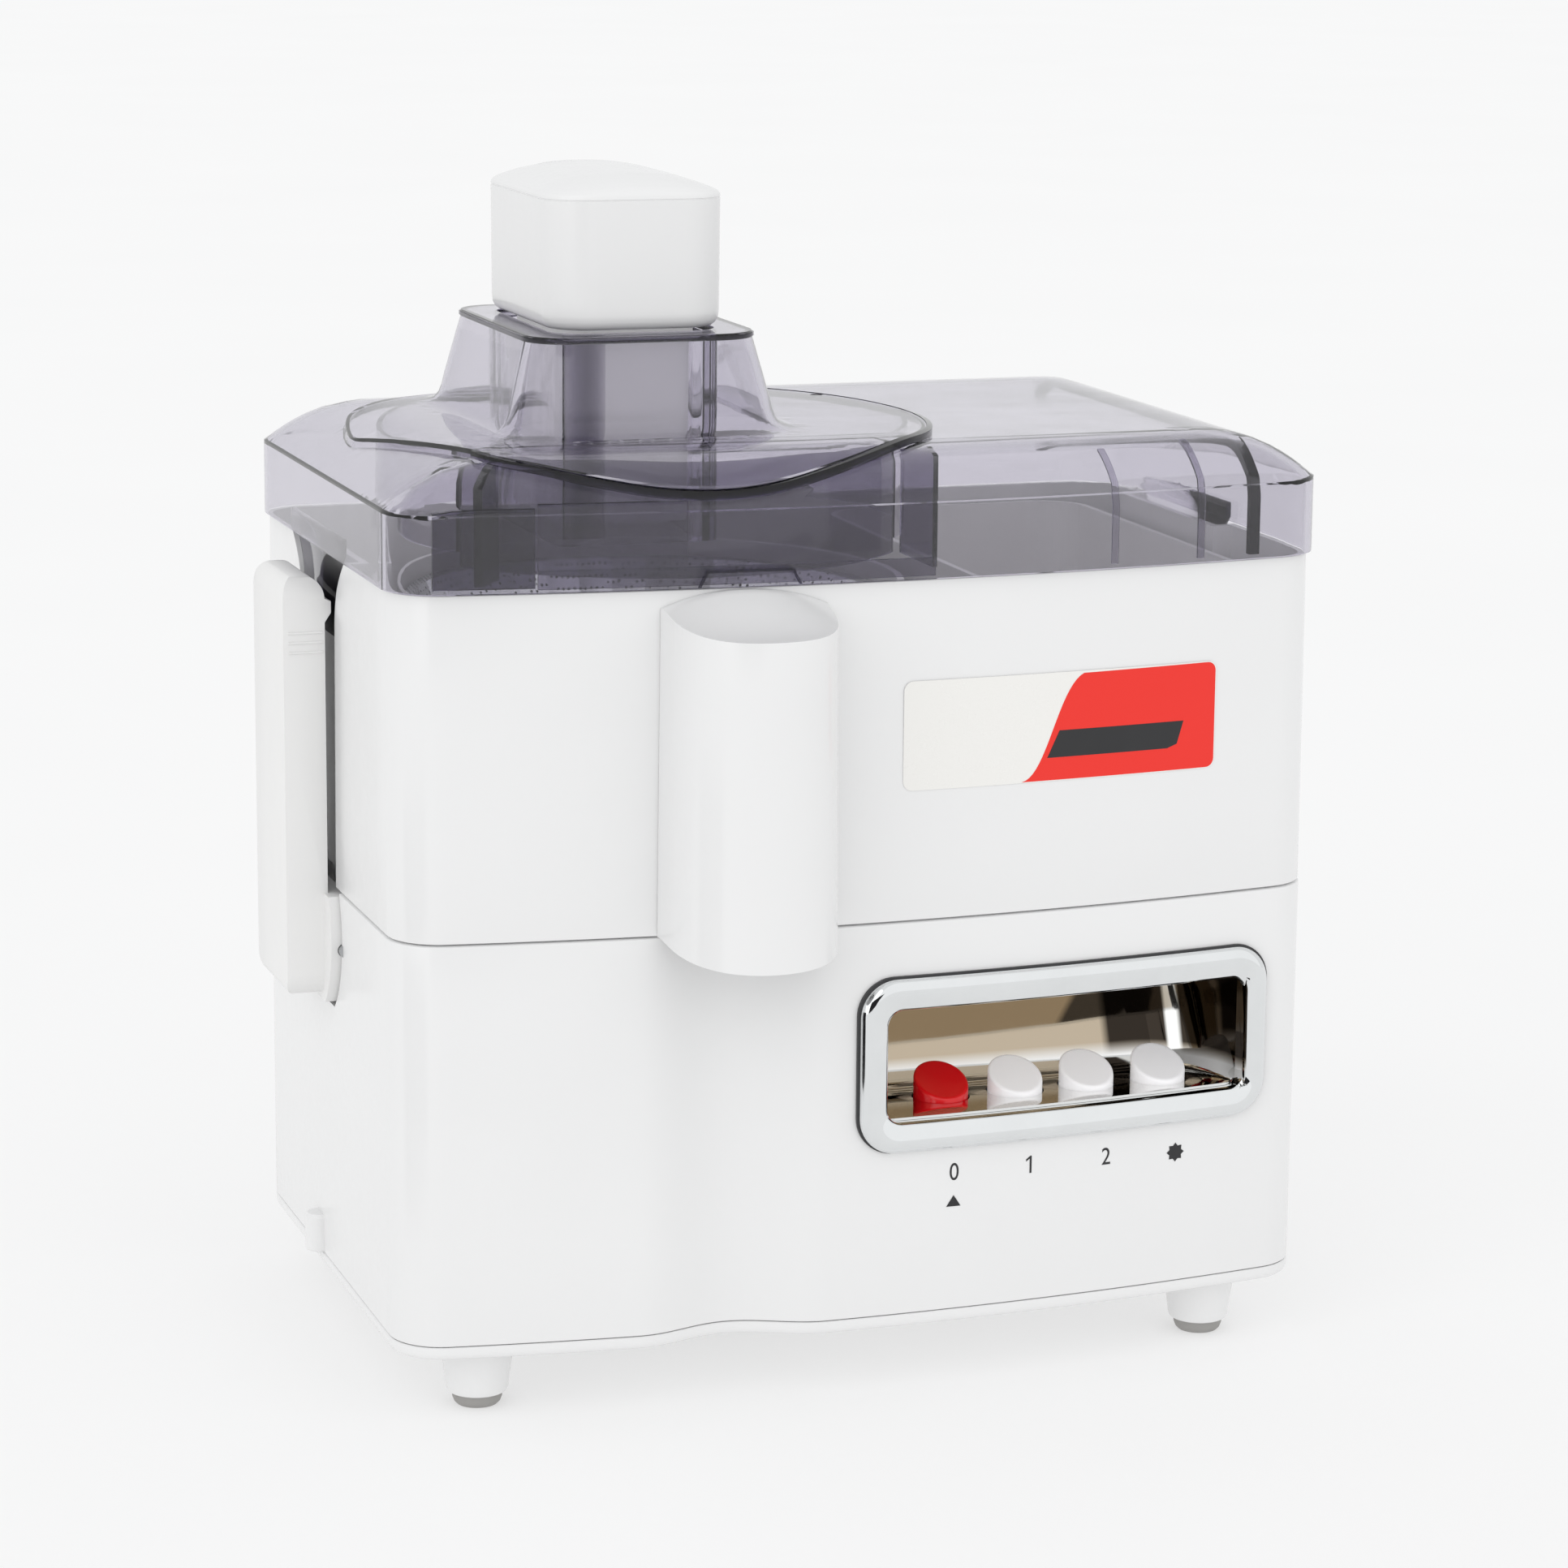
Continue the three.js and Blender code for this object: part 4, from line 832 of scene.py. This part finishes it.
def spout_top(x, y):
    """The hood's top: an arch with crisp corners by the body, hollowed as it falls to the nose."""
    across = min(abs(x - SPOUT_X) / 27.2, 1.15)
    arch = 256.8 - 5.8 * across ** 2.2
    out = min(max((-104.0 - y) / 34.0, 0.0), 1.0)
    return arch + (246.2 - arch) * (1 - (1 - out) ** 1.8)


def spout_top_cutter():
    """Everything above the hood's top, as a block with the curved underside."""
    xs = [SPOUT_X - 31 + 62 * i / 40 for i in range(41)]
    ys = [-146.0 + 52.0 * j / 30 for j in range(31)]
    rings = [[(x, ys[0], 275.0)] + [(x, y, spout_top(x, y)) for y in ys] + [(x, ys[-1], 275.0)] for x in xs]
    return loft("tool", rings, WHITE)


def make_spout_cover():
    """The half-round hood over the spout, with a slanted foot and a dished, arched top."""
    levels = ((140.0, 0.0), (180.0, 0.3), (230.0, 0.8), (260.0, 1.1))
    rings = [at(spout_plan(inset), z) for z, inset in levels]
    cover = loft("spout_cover_shell", rings, WHITE)
    foot = [(-152.0, 130.0), (-90.0, 130.0), (-90.0, 151.3), (-104.0, 151.3), (-138.0, 146.3),
            (-152.0, 144.3)]
    cut(cover, spout_top_cutter(), prism_x(foot, 1, SPOUT_X - 40, SPOUT_X + 40))
    round_front_edge(cover)
    cut(cover, loft("tool", [at(spout_plan(2.4), 130.0), at(spout_plan(3.4), 238.0)], WHITE))
    cut(cover, body_block("tool", [(120.0, -0.1), (151.0, -0.1), (258.0, 0.6)], WHITE))
    keep(cover, "juice_unit", "white_plastic", "spout_cover", crease=40)


def round_front_edge(cover):
    """Rounds the rim between the hood's top and its nose, and leaves the edges by the body crisp."""
    bm = bmesh.new()
    bm.from_mesh(cover.data)
    rim = []
    for edge in bm.edges:
        middle = (edge.verts[0].co + edge.verts[1].co) / 2
        high = middle.z > 0.240
        forward = middle.y < (-116.0 + SHIFT_Y) * MM
        if high and forward and len(edge.link_faces) == 2 and edge.calc_face_angle(0.0) > 0.6:
            rim.append(edge)
    bmesh.ops.bevel(bm, geom=rim, offset=1.8 * MM, segments=5, affect="EDGES", profile=0.5,
                    clamp_overlap=True)
    bm.to_mesh(cover.data)
    bm.free()


# ---- clamps
def arm_profile():
    """The left arm seen from the front, from the hook's foot down the inside and up the outside."""
    outer, inner, foot, top = ARM_OUTER, ARM_INNER, ARM_FOOT, ARM_TOP
    points = [(inner, 236.0), (inner, 146.0)]
    points += bezier((inner, 146.0), (inner + 5, 143.0), (inner + 7, 138.0), (inner + 7, 133.0), 8)[1:]
    points += bezier((inner + 7, 133.0), (inner + 7, 126.0), (inner + 5, foot + 1), (inner, foot + 0.2), 8)
    points += [(inner - 1, foot)]
    points += bezier((outer + 4.5, foot), (outer + 1.5, foot), (outer, foot + 2), (outer, foot + 5), 8)
    points += line((outer, foot + 5), (outer, top - 8), 4)
    points += bezier((outer, top - 8), (outer, top - 3), (outer + 2, top - 0.2), (outer + 5.5, top), 10)
    points += bezier((outer + 5.5, top), (inner - 3.0, top), (inner, top - 2.5), (inner, 243.5), 12)
    points += [(inner, 243.5), (inner + 2, 242.6), (inner + 2, 239.0)]
    return points


def pivot_outline(radius, low, high, steps=20):
    """Side view of the round pivot, cut off level below and above."""
    right = []
    for i in range(steps + 1):
        z = low + (high - low) * i / steps
        right.append((ARM_Y + math.sqrt(radius ** 2 - (z - PIVOT_Z) ** 2), z))
    return both_sides(right, ARM_Y)


def pivot_disc(sign):
    """The clamp's round pivot, thinned below so that it clears the pocket's floor as it turns."""
    disc = prism_x(pivot_outline(30.1, POCKET_FLOOR + 2.2, 149.6), sign, 153.2, 146.4)
    corner = [(146.0, 112.0), (150.2, 112.0), (149.4, 116.0), (146.0, 121.5)]
    if sign < 0:
        corner = mirror_points(corner)
    cut(disc, prism_y(corner, ARM_Y - 40, ARM_Y + 40))
    return disc


def make_clamp(side, sign):
    points = arm_profile()
    if sign > 0:
        points = mirror_points(points)
    y0, y1 = ARM_Y - ARM_W / 2, ARM_Y + ARM_W / 2
    arm = prism_y(points, y0, y1, f"clamp_{side}_arm", WHITE_SATIN)
    face = rounded_rect(y0, y1, ARM_FOOT, ARM_TOP, 8.0, 10, 1)
    combine(arm, prism_x(face, sign, 170.0, 140.0), "INTERSECT")
    bevel(arm, 1.1, 3, 50)
    combine(arm, pivot_disc(sign), "UNION")
    cut(arm, rod_y(2.15, sign * HINGE_X, HINGE_Z, ARM_Y - 34, ARM_Y + 34))
    keep(arm, f"{side}_clamp", "white_plastic", f"clamp_{side}", crease=35)
    for i in range(3):
        for end, y in (("front", y0 - 0.12), ("rear", y1 + 0.12)):
            ring = arc(y, 233.0 - 3.1 * i, 0.42, 0, TURN, 12)
            rib = prism_x(ring, sign, 152.8, 163.6, f"clamp_{side}_rib_{i}_{end}", WHITE_SATIN)
            keep(rib, f"{side}_clamp", "white_plastic", crease=50)


# ---- lid
def ease(t, power):
    """Rises from 0 to 1, fast at first and level at the end."""
    return 1 - (1 - min(max(t, 0.0), 1.0)) ** power


def roll_height(x, y):
    """The lid's top: flat in the middle and rolled off to the edge on all four sides."""
    from_end = ease((BODY_W / 2 + LID_OVERHANG - abs(x)) / 38.0, 2.4)
    from_front = ease((y - front_y(x) + LID_OVERHANG) / 26.0, 2.2)
    from_rear = ease((REAR_Y + LID_OVERHANG - y) / 32.0, 2.2)
    drop = ((1 - from_end) ** 1.9 + (1 - min(from_front, from_rear)) ** 1.9) ** (1 / 1.9)
    return LID_EDGE + LID_RISE * max(1 - drop, 0.0)


def spline_loop(points, steps=8):
    """A smooth closed curve through the points."""
    curve = []
    n = len(points)
    for i in range(n):
        a, b, c, d = (points[(i + k - 1) % n] for k in range(4))
        for k in range(steps):
            t = k / steps
            weights = (-t + 2 * t * t - t ** 3, 2 - 5 * t * t + 3 * t ** 3, t + 4 * t * t - 3 * t ** 3,
                       t ** 3 - t * t)
            pairs = list(zip(weights, (a, b, c, d)))
            curve.append(tuple(sum(w * p[axis] for w, p in pairs) / 2 for axis in (0, 1)))
    return curve


def grown(points, distance):
    """The closed curve moved outwards."""
    moved = []
    n = len(points)
    for i, (x, y) in enumerate(points):
        tx = points[(i + 1) % n][0] - points[i - 1][0]
        ty = points[(i + 1) % n][1] - points[i - 1][1]
        length = math.hypot(tx, ty)
        moved.append((x + ty / length * distance, y - tx / length * distance))
    return moved


def around_chute(half_x, half_y, r, corner=10, side=6):
    """A rounded rectangle in plan about the chute's middle."""
    return rounded_rect(CHUTE_X - half_x, CHUTE_X + half_x, CHUTE_Y - half_y, CHUTE_Y + half_y, r, corner,
                        side)


def chute_ring(half_x, half_y, r, z):
    return at(around_chute(half_x, half_y, r), z)


def lid_plan(loops):
    """Points and edges of the lid's top in plan: the closed loops, rings near the rim, and a grid."""
    points, edges = [], []
    for loop in loops:
        start = len(points)
        points += [Vector(p) for p in loop]
        edges += [(start + i, start + (i + 1) % len(loop)) for i in range(len(loop))]
    for offset in (1.2, 2.6, 4.4, 6.8, 10.0, 14.0, 19.0, 25.0):
        ring = outline(offset - LID_OVERHANG, front=72, rear=48, ends=34, corner=6)
        points += [Vector(p) for p in ring if not near_loops(p, loops[1:], 1.6)]
    for x in range(-120, 121, 5):
        for y in range(-72, 68, 5):
            if not near_loops((x, y), loops[1:], 2.2):
                points.append(Vector((x, y)))
    return points, edges


def lid_mesh():
    """The lid's outer skin: its top with the raised area, then the skirt, and the chute up to its rim."""
    edge = outline(-LID_OVERHANG, front=110, rear=60, ends=44, corner=10)
    low = spline_loop(RAISED)
    high = grown(low, -1.0)
    mouth = around_chute(*CHUTE_RINGS[0][:3])
    points, edges = lid_plan([edge, low, high, mouth])
    verts, _, faces, *_ = delaunay_2d_cdt(points, edges, [], 0, 1e-4)
    bm = bmesh.new()
    made = []
    for v in verts:
        raised = inside(v, high) or min_distance(v, high) < 0.02
        height = roll_height(v.x, v.y) + (DISC_STEP if raised else 0.0)
        made.append(bm.verts.new(to_world((v.x, v.y, height))))
    for face in faces:
        centre = (sum(verts[i].x for i in face) / 3, sum(verts[i].y for i in face) / 3)
        if inside(centre, edge) and not inside(centre, mouth):
            bm.faces.new([made[i] for i in face])

    def vert_at(p):
        best = min(range(len(verts)), key=lambda i: (verts[i].x - p[0]) ** 2 + (verts[i].y - p[1]) ** 2)
        return made[best]

    def skin(first, rings):
        """Faces from a row of vertices through rings of new ones."""
        last = first
        for ring in rings:
            row = [bm.verts.new(to_world(p)) for p in ring]
            for i in range(len(row)):
                j = (i + 1) % len(row)
                bm.faces.new((last[i], last[j], row[j], row[i]))
            last = row

    skin([vert_at(p) for p in edge], [at(edge, z) for z in (LID_EDGE - 8, LID_EDGE - 16, LID_BOTTOM)])
    plateau = LID_EDGE + LID_RISE + DISC_STEP
    chute = [(half_x, half_y, r, plateau + rise) for half_x, half_y, r, rise in CHUTE_RINGS[1:]]
    chute += [(36.7, 49.7, 13.7, CHUTE_RIM - 0.5), (36.3, 49.3, 13.4, CHUTE_RIM),
              (30.0, 42.0, 11.0, CHUTE_RIM), (26.6, 38.6, 9.8, CHUTE_RIM)]
    skin([vert_at(p) for p in mouth], [chute_ring(*ring) for ring in chute])
    bmesh.ops.recalc_face_normals(bm, faces=bm.faces)
    mesh = bpy.data.meshes.new("lid_shell")
    bm.to_mesh(mesh)
    bm.free()
    return mesh


def make_lid():
    mesh = lid_mesh()
    mesh.materials.append(SMOKE)
    lid = link_object("lid_shell", mesh)
    thicken(lid, LID_WALL, -1.0, even=True)
    cut(lid, turned([(2.0, 285.0), (2.0, 305.0)], *VENT, SMOKE))
    lid.visible_shadow = False
    keep(lid, "lid_unit", "smoky_plastic", "lid", crease=30)
    make_lid_details()


def under_lid(x, y):
    return roll_height(x, y) - LID_WALL - 0.12


def wall_under_lid(name, path, thick, bottom, mat, ceiling=400.0):
    """A standing wall along a path in plan, whose top follows the lid's underside up to a ceiling."""
    rings = []
    for i, (x, y) in enumerate(path):
        nx, ny = sideways(path, i)
        nx, ny = -nx * thick / 2, -ny * thick / 2
        left, right = (x + nx, y + ny), (x - nx, y - ny)
        top = min(under_lid(*left), under_lid(*right), ceiling)
        rings.append([(*left, bottom), (*right, bottom), (*right, top), (*left, top)])
    return loft(name, rings, mat)


def strip_under_lid(name, x, wide, deep, mat, back=88.0):
    """A narrow rib inside the skin, which runs down the front wall and back over the top."""
    wall = front_y(x) + LID_WALL - 0.5
    path = [(wall, 258.6), (wall, 268.0), (wall, 277.0)]
    y = wall + 1.5
    while y < back:
        path.append((y, under_lid(x + wide / 2, y)))
        y += 3.0
    rings = []
    x0, x1 = x - wide / 2, x + wide / 2
    for i, (y, z) in enumerate(path):
        ny, nz = sideways(path, i)
        inner = (y + ny * deep, z + nz * deep)
        rings.append([(x0, y, z), (x1, y, z), (x1, *inner), (x0, *inner)])
    return loft(name, rings, mat)


def bead_on_lid(name, path, mat):
    """The upright edge of the raised area, as a near-black bead: painted shade for the dark line at the step.
    It fades to nothing at both ends of the path.
    """
    rings = []
    for i, (x, y) in enumerate(path):
        nx, ny = sideways(path, i)
        thick = 0.15 + 0.75 * math.sin(math.pi * i / (len(path) - 1))
        z = roll_height(x, y)
        foot = (x + nx * (0.05 + thick), y + ny * (0.05 + thick))
        rings.append([(x + nx * 0.05, y + ny * 0.05, z - 0.1), (*foot, roll_height(*foot) + 0.02),
                      (*foot, z + DISC_STEP - 0.2), (x - nx * 0.95, y - ny * 0.95, z + DISC_STEP + 0.15)])
    return loft(name, rings, mat)


def guide_rib():
    """A rib inside the chute that keys the pusher: thick in the middle and thin at its sides. Made in the
    shaded copy of the smoky plastic, it paints a dark band of shade down the stem.
    """
    x0, x1, back, steps = -83.5, -70.5, -40.6, 12
    xs = [x0 + (x1 - x0) * i / steps for i in range(steps + 1)]
    flat = [(x, back) for x in xs]
    flat += [(xs[i], back + 0.1 + 2.4 * math.sin(math.pi * i / steps)) for i in range(steps, -1, -1)]
    rings = [at(flat, z) for z in (264.0, 300.0, CHUTE_RIM - LID_WALL - 0.1)]
    return loft("lid_guide_rib", rings, SMOKE_SHADED)


def vent_valve():
    """A small dark ring in the lid's vent hole."""
    level = roll_height(*VENT) + DISC_STEP
    profile = [(0.4, level - 2.1), (1.9, level - 2.1), (1.9, level - 0.15), (0.4, level - 0.35)]
    return turned(profile, *VENT, SMOKE_EDGE, "lid_vent_valve", 32)


def lid_tongue(side, sign, mat):
    """The lid's tongue, which hangs into the clamp's recess and widens to the skirt."""
    half = [(ARM_Y - 20.0, 230.5), (ARM_Y - 21.5, 238.0)]
    half += bezier((ARM_Y - 23.0, 244.0), (ARM_Y - 25.0, 250.0), (ARM_Y - 28.0, 254.0),
                   (ARM_Y - 33.0, 257.0), 10)
    half += [(ARM_Y - 34.5, 259.0), (ARM_Y - 34.5, 264.0)]
    tongue = prism_x(both_sides(half, ARM_Y), sign, 148.2, 146.2, f"lid_tongue_{side}", mat)
    bevel(tongue, 0.5, 2, 50)
    return tongue


def behind_front(first, last):
    """A path just inside the lid's front wall, between two x."""
    return [(x, front_y(x) + 3.6) for x in range(first, last, 3)]


def lid_walls():
    """The ribs, liners, collars and partition that show through the lid. Those in the shaded copy of the
    smoky plastic are painted shade for the shaded inside under the lid; the back of the collar is in the
    plain one.
    """
    slant = [(-123.4, -87.5), (-121.0, -84.0), (-118.0, -79.5), (-115.0, -75.0)]
    collar_front = arc(DISC_X, DISC_Y, 83.0, -2.6, -0.68, 72, last=True)
    collar_back = arc(DISC_X, DISC_Y, 83.0, -0.66, TURN - 2.62, 96, last=True)
    partition = [(20.3, y) for y in (-89.0, -84.0, -78.0, -72.0, -66.0, -60.0)]
    return [
        strip_under_lid("lid_rib_right", 124.6, 3.4, 2.4, SMOKE_EDGE),
        strip_under_lid("lid_rib_mid", 75.5, 2.2, 0.6, SMOKE_SHADED, -84.0),
        strip_under_lid("lid_rib_far", 105.5, 2.2, 0.9, SMOKE_SHADED, -80.0),
        wall_under_lid("lid_liner_left", behind_front(-138, -107), 3.2, 258.6, SMOKE_SHADED),
        wall_under_lid("lid_liner_middle", behind_front(-107, -59), 1.0, 263.6, SMOKE_SHADED),
        wall_under_lid("lid_liner_lip", behind_front(-107, 18), 1.4, 258.0, SMOKE_SHADED, 263.5),
        wall_under_lid("lid_rib_left", slant, 2.8, 258.5, SMOKE_SHADED),
        wall_under_lid("lid_collar_front", collar_front, 1.9, 257.8, SMOKE_SHADED),
        wall_under_lid("lid_collar_back", collar_back, 1.6, 262.0, SMOKE),
        wall_under_lid("lid_partition", partition, 1.6, 258.4, SMOKE_SHADED),
    ]


def chute_parts():
    """A near-black band of painted shade at the rim of the chute, its guide rib and the square tube inside
    it.
    """
    rim = [chute_ring(36.72 + out, 49.72 + out, 13.7 + turn, CHUTE_RIM - drop)
           for out, turn, drop in ((0.0, 0.0, 1.6), (0.28, 0.2, 1.6), (0.28, 0.2, 0.6), (0.0, 0.0, 0.6))]
    rim_edge = loft("lid_rim_edge", rim, SMOKE_EDGE, loop=True)
    rib = guide_rib()
    top = CHUTE_RIM - LID_WALL - 0.05
    outer = [chute_ring(26.2, 38.2, 4.5, z) for z in (262.0, 300.0, top)]
    inner = [chute_ring(23.4, 35.4, 11.0, z) for z in (top, 300.0, 262.0)]
    return [rim_edge, rib, loft("lid_tube", outer + inner, SMOKE_TUBE_LIT, loop=True)]


def make_lid_details():
    pieces = [vent_valve()]
    slot_edge = flat_mark("lid_slot_edge", SLOT_BAND, SMOKE_EDGE, "lid_unit", "smoky_plastic", -0.72, 0.5)
    slot_edge.visible_shadow = False
    low = spline_loop(RAISED)
    # The left tongue, which shows in the clamp's recess, is in the shaded copy of the smoky plastic: painted
    # shade; the hidden right one is in the plain one.
    pieces += [lid_tongue("left", -1, SMOKE_SHADED), lid_tongue("right", 1, SMOKE)]
    pieces += lid_walls()
    pieces.append(bead_on_lid("lid_step_edge", low[-8:] + low[:112], SMOKE_EDGE))
    pieces += chute_parts()
    for piece in pieces:
        piece.visible_shadow = False
        keep(piece, "lid_unit", "smoky_plastic", crease=35)


# ---- pusher
def make_pusher():
    """Domed grip, with a parting line under its crown and a rounded lower edge, and a plain stem."""
    def ring(half_x, half_y, r, z, crown=0.0):
        flat = around_chute(half_x, half_y, r, 12, 12)
        return [(x, y, z + crown * (1 - ((x - CHUTE_X) / 28.5) ** 2)) for x, y in flat]

    grip = [ring(24.5, 37.5, 10.0, 328.2), ring(26.2, 39.2, 12.0, 328.5), ring(27.4, 40.4, 13.0, 329.4),
            ring(28.1, 41.1, 13.4, 330.8), ring(28.3, 41.3, 13.5, 333.0), ring(28.4, 41.4, 13.5, 350.0)]
    grip += [ring(28.5, 41.5, 13.5, 367.6), ring(28.25, 41.25, 13.3, 367.8),
             ring(28.25, 41.25, 13.3, 368.0), ring(28.5, 41.5, 13.5, 368.2)]
    grip += [ring(28.4, 41.4, 13.4, 368.9, 0.2), ring(27.8, 40.8, 13.2, 369.7, 0.8),
             ring(26.4, 39.4, 12.8, 370.3, 1.6), ring(23.0, 35.5, 12.0, 371.0, 2.6),
             ring(17.0, 28.0, 10.0, 371.7, 3.4), ring(10.0, 18.0, 7.0, 372.0, 3.4),
             ring(3.0, 7.0, 2.9, 372.2, 3.2)]
    stem = [ring(19.6, 31.6, 6.0, 268.0), ring(20.3, 32.3, 6.6, 269.0), ring(20.6, 32.6, 6.8, 300.0),
            ring(20.8, 32.8, 7.0, 328.15)]
    keep(loft("pusher_grip", grip, WHITE), "pusher_unit", "white_plastic", "pusher", crease=40)
    keep(loft("pusher_stem", stem, STEM_WHITE_PAINTED_GLOW), "pusher_unit", "white_plastic", crease=40)


# ---- CAD nodes that stay, with finished materials
CAD_LOOKS = (
    (WHITE_SATIN, ("juice_bowl", "spout_chute", "pulp_container", "basket_hub")),
    (MESH_STEEL, ("filter_basket", "grater_disc")),
    (STEEL, ("motor_stator", "armature", "motor_bracket_lower", "motor_bracket_upper", "bearing_lower",
             "bearing_upper", "motor_shaft", "clamp_pin_left", "clamp_pin_right")),
    (COPPER, ("field_coil_front", "field_coil_rear", "commutator")),
    (DARK, ("cord_gland", "switch_block", "circuit_breaker", "carbon_brush_left", "carbon_brush_right",
            "cooling_fan", "drive_coupling", "basket_socket")),
    (RUBBER, ("motor_mount_left", "motor_mount_right", "shaft_seal")),
    (OCHRE, ("capacitor",)),
)


def finish_cad_nodes():
    for mat, nodes in CAD_LOOKS:
        for name in nodes:
            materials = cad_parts[name].data.materials
            if materials:
                for i in range(len(materials)):
                    materials[i] = mat
            else:
                materials.append(mat)


# ---- stage, light and camera
def flat_panel(name, width, depth, mat):
    mesh = bpy.data.meshes.new(name)
    w, d = width / 2, depth / 2
    mesh.from_pydata([(-w, -d, 0), (w, -d, 0), (w, d, 0), (-w, d, 0)], [], [(0, 1, 2, 3)])
    mesh.materials.append(mat)
    return link_object(name, mesh)


def make_stage():
    """A plain pale floor, lit a little from within so that it meets the background."""
    mat, tree, shader = new_material("pale_floor")
    soft = noise(tree, 3.0, 3.0)
    color = tint_mix(tree, soft, (0.44, 0.44, 0.44), (0.46, 0.46, 0.46))
    tree.links.new(color, shader.inputs["Base Color"])
    set_inputs(shader, Roughness=0.9, Specular_IOR_Level=0.0)
    glowing(mat, 0.495)
    flat_panel("floor", 60.0, 60.0, mat)


def direction(azimuth, elevation):
    """From the object towards a place that is seen at azimuth and elevation. Azimuth 0 is the front."""
    return Vector((math.sin(azimuth) * math.cos(elevation), -math.cos(azimuth) * math.cos(elevation),
                   math.sin(elevation)))


def soft_sun(name, azimuth, elevation, strength, spread):
    """A broad soft light from one side, even over the whole floor."""
    data = bpy.data.lights.new(name, "SUN")
    data.energy = strength
    data.angle = math.radians(spread)
    obj = link_object(name, data)
    place = direction(math.radians(azimuth), math.radians(elevation))
    obj.location = place * 2
    obj.rotation_euler = place.to_track_quat("Z", "Y").to_euler()


def dark_card(name, centre, size, facing):
    """A black card beside the stage. Only reflections see it."""
    mat, _, shader = new_material(name + "_black")
    set_inputs(shader, Base_Color=(0.004, 0.004, 0.005, 1), Roughness=0.9)
    card = flat_panel(name, *size, mat)
    card.location = centre
    card.rotation_euler = (Vector(facing) - Vector(centre)).to_track_quat("Z", "Y").to_euler()
    card.visible_camera = False
    card.visible_diffuse = False
    card.visible_shadow = False
    card.visible_transmission = False


def make_light():
    world = bpy.data.worlds.new("studio")
    bpy.context.scene.world = world
    world.use_nodes = True
    set_inputs(world.node_tree.nodes["Background"], Color=(0.98, 0.985, 0.99, 1), Strength=0.90)
    soft_sun("key", -50, 28, 0.46, 60)
    soft_sun("fill", 34, 22, 0.26, 90)
    dark_card("card_left", (-0.36, -0.16, 0.07), (0.24, 0.15), (0.0, -0.09, 0.1))
    dark_card("card_behind_camera", (-0.80, -2.2, 0.55), (1.5, 0.9), (0.05, -0.08, 0.1))


def make_camera():
    """The photo's viewpoint: a long lens from the front left, a little above, with a slight roll."""
    azimuth, elevation, roll = -0.3285, 0.2087, 0.009
    back = direction(azimuth, elevation)
    right0 = Vector((math.cos(azimuth), math.sin(azimuth), 0))
    up0 = back.cross(right0)
    right = right0 * math.cos(roll) + up0 * math.sin(roll)
    up = up0 * math.cos(roll) - right0 * math.sin(roll)
    data = bpy.data.cameras.new("camera")
    data.lens = 107.1
    data.sensor_width = 36.0
    data.clip_end = 100
    camera = link_object("camera", data)
    rotation = Matrix((right, up, back)).transposed().to_4x4()
    place = Vector((-477.4, -1409.2 + SHIFT_Y, 488.6)) * MM
    camera.matrix_world = Matrix.Translation(place) @ rotation
    bpy.context.scene.camera = camera


make_camera()
make_stage()
make_light()
bpy.context.scene.view_settings.view_transform = "Standard"
make_bottom_cover()
make_foot_pads()
make_base_housing()
make_bezel()
make_tray()
make_buttons()
make_marks()
make_juice_housing()
make_spout_cover()
make_label()
make_clamp("left", -1)
make_clamp("right", 1)
make_lid()
make_pusher()
finish_cad_nodes()
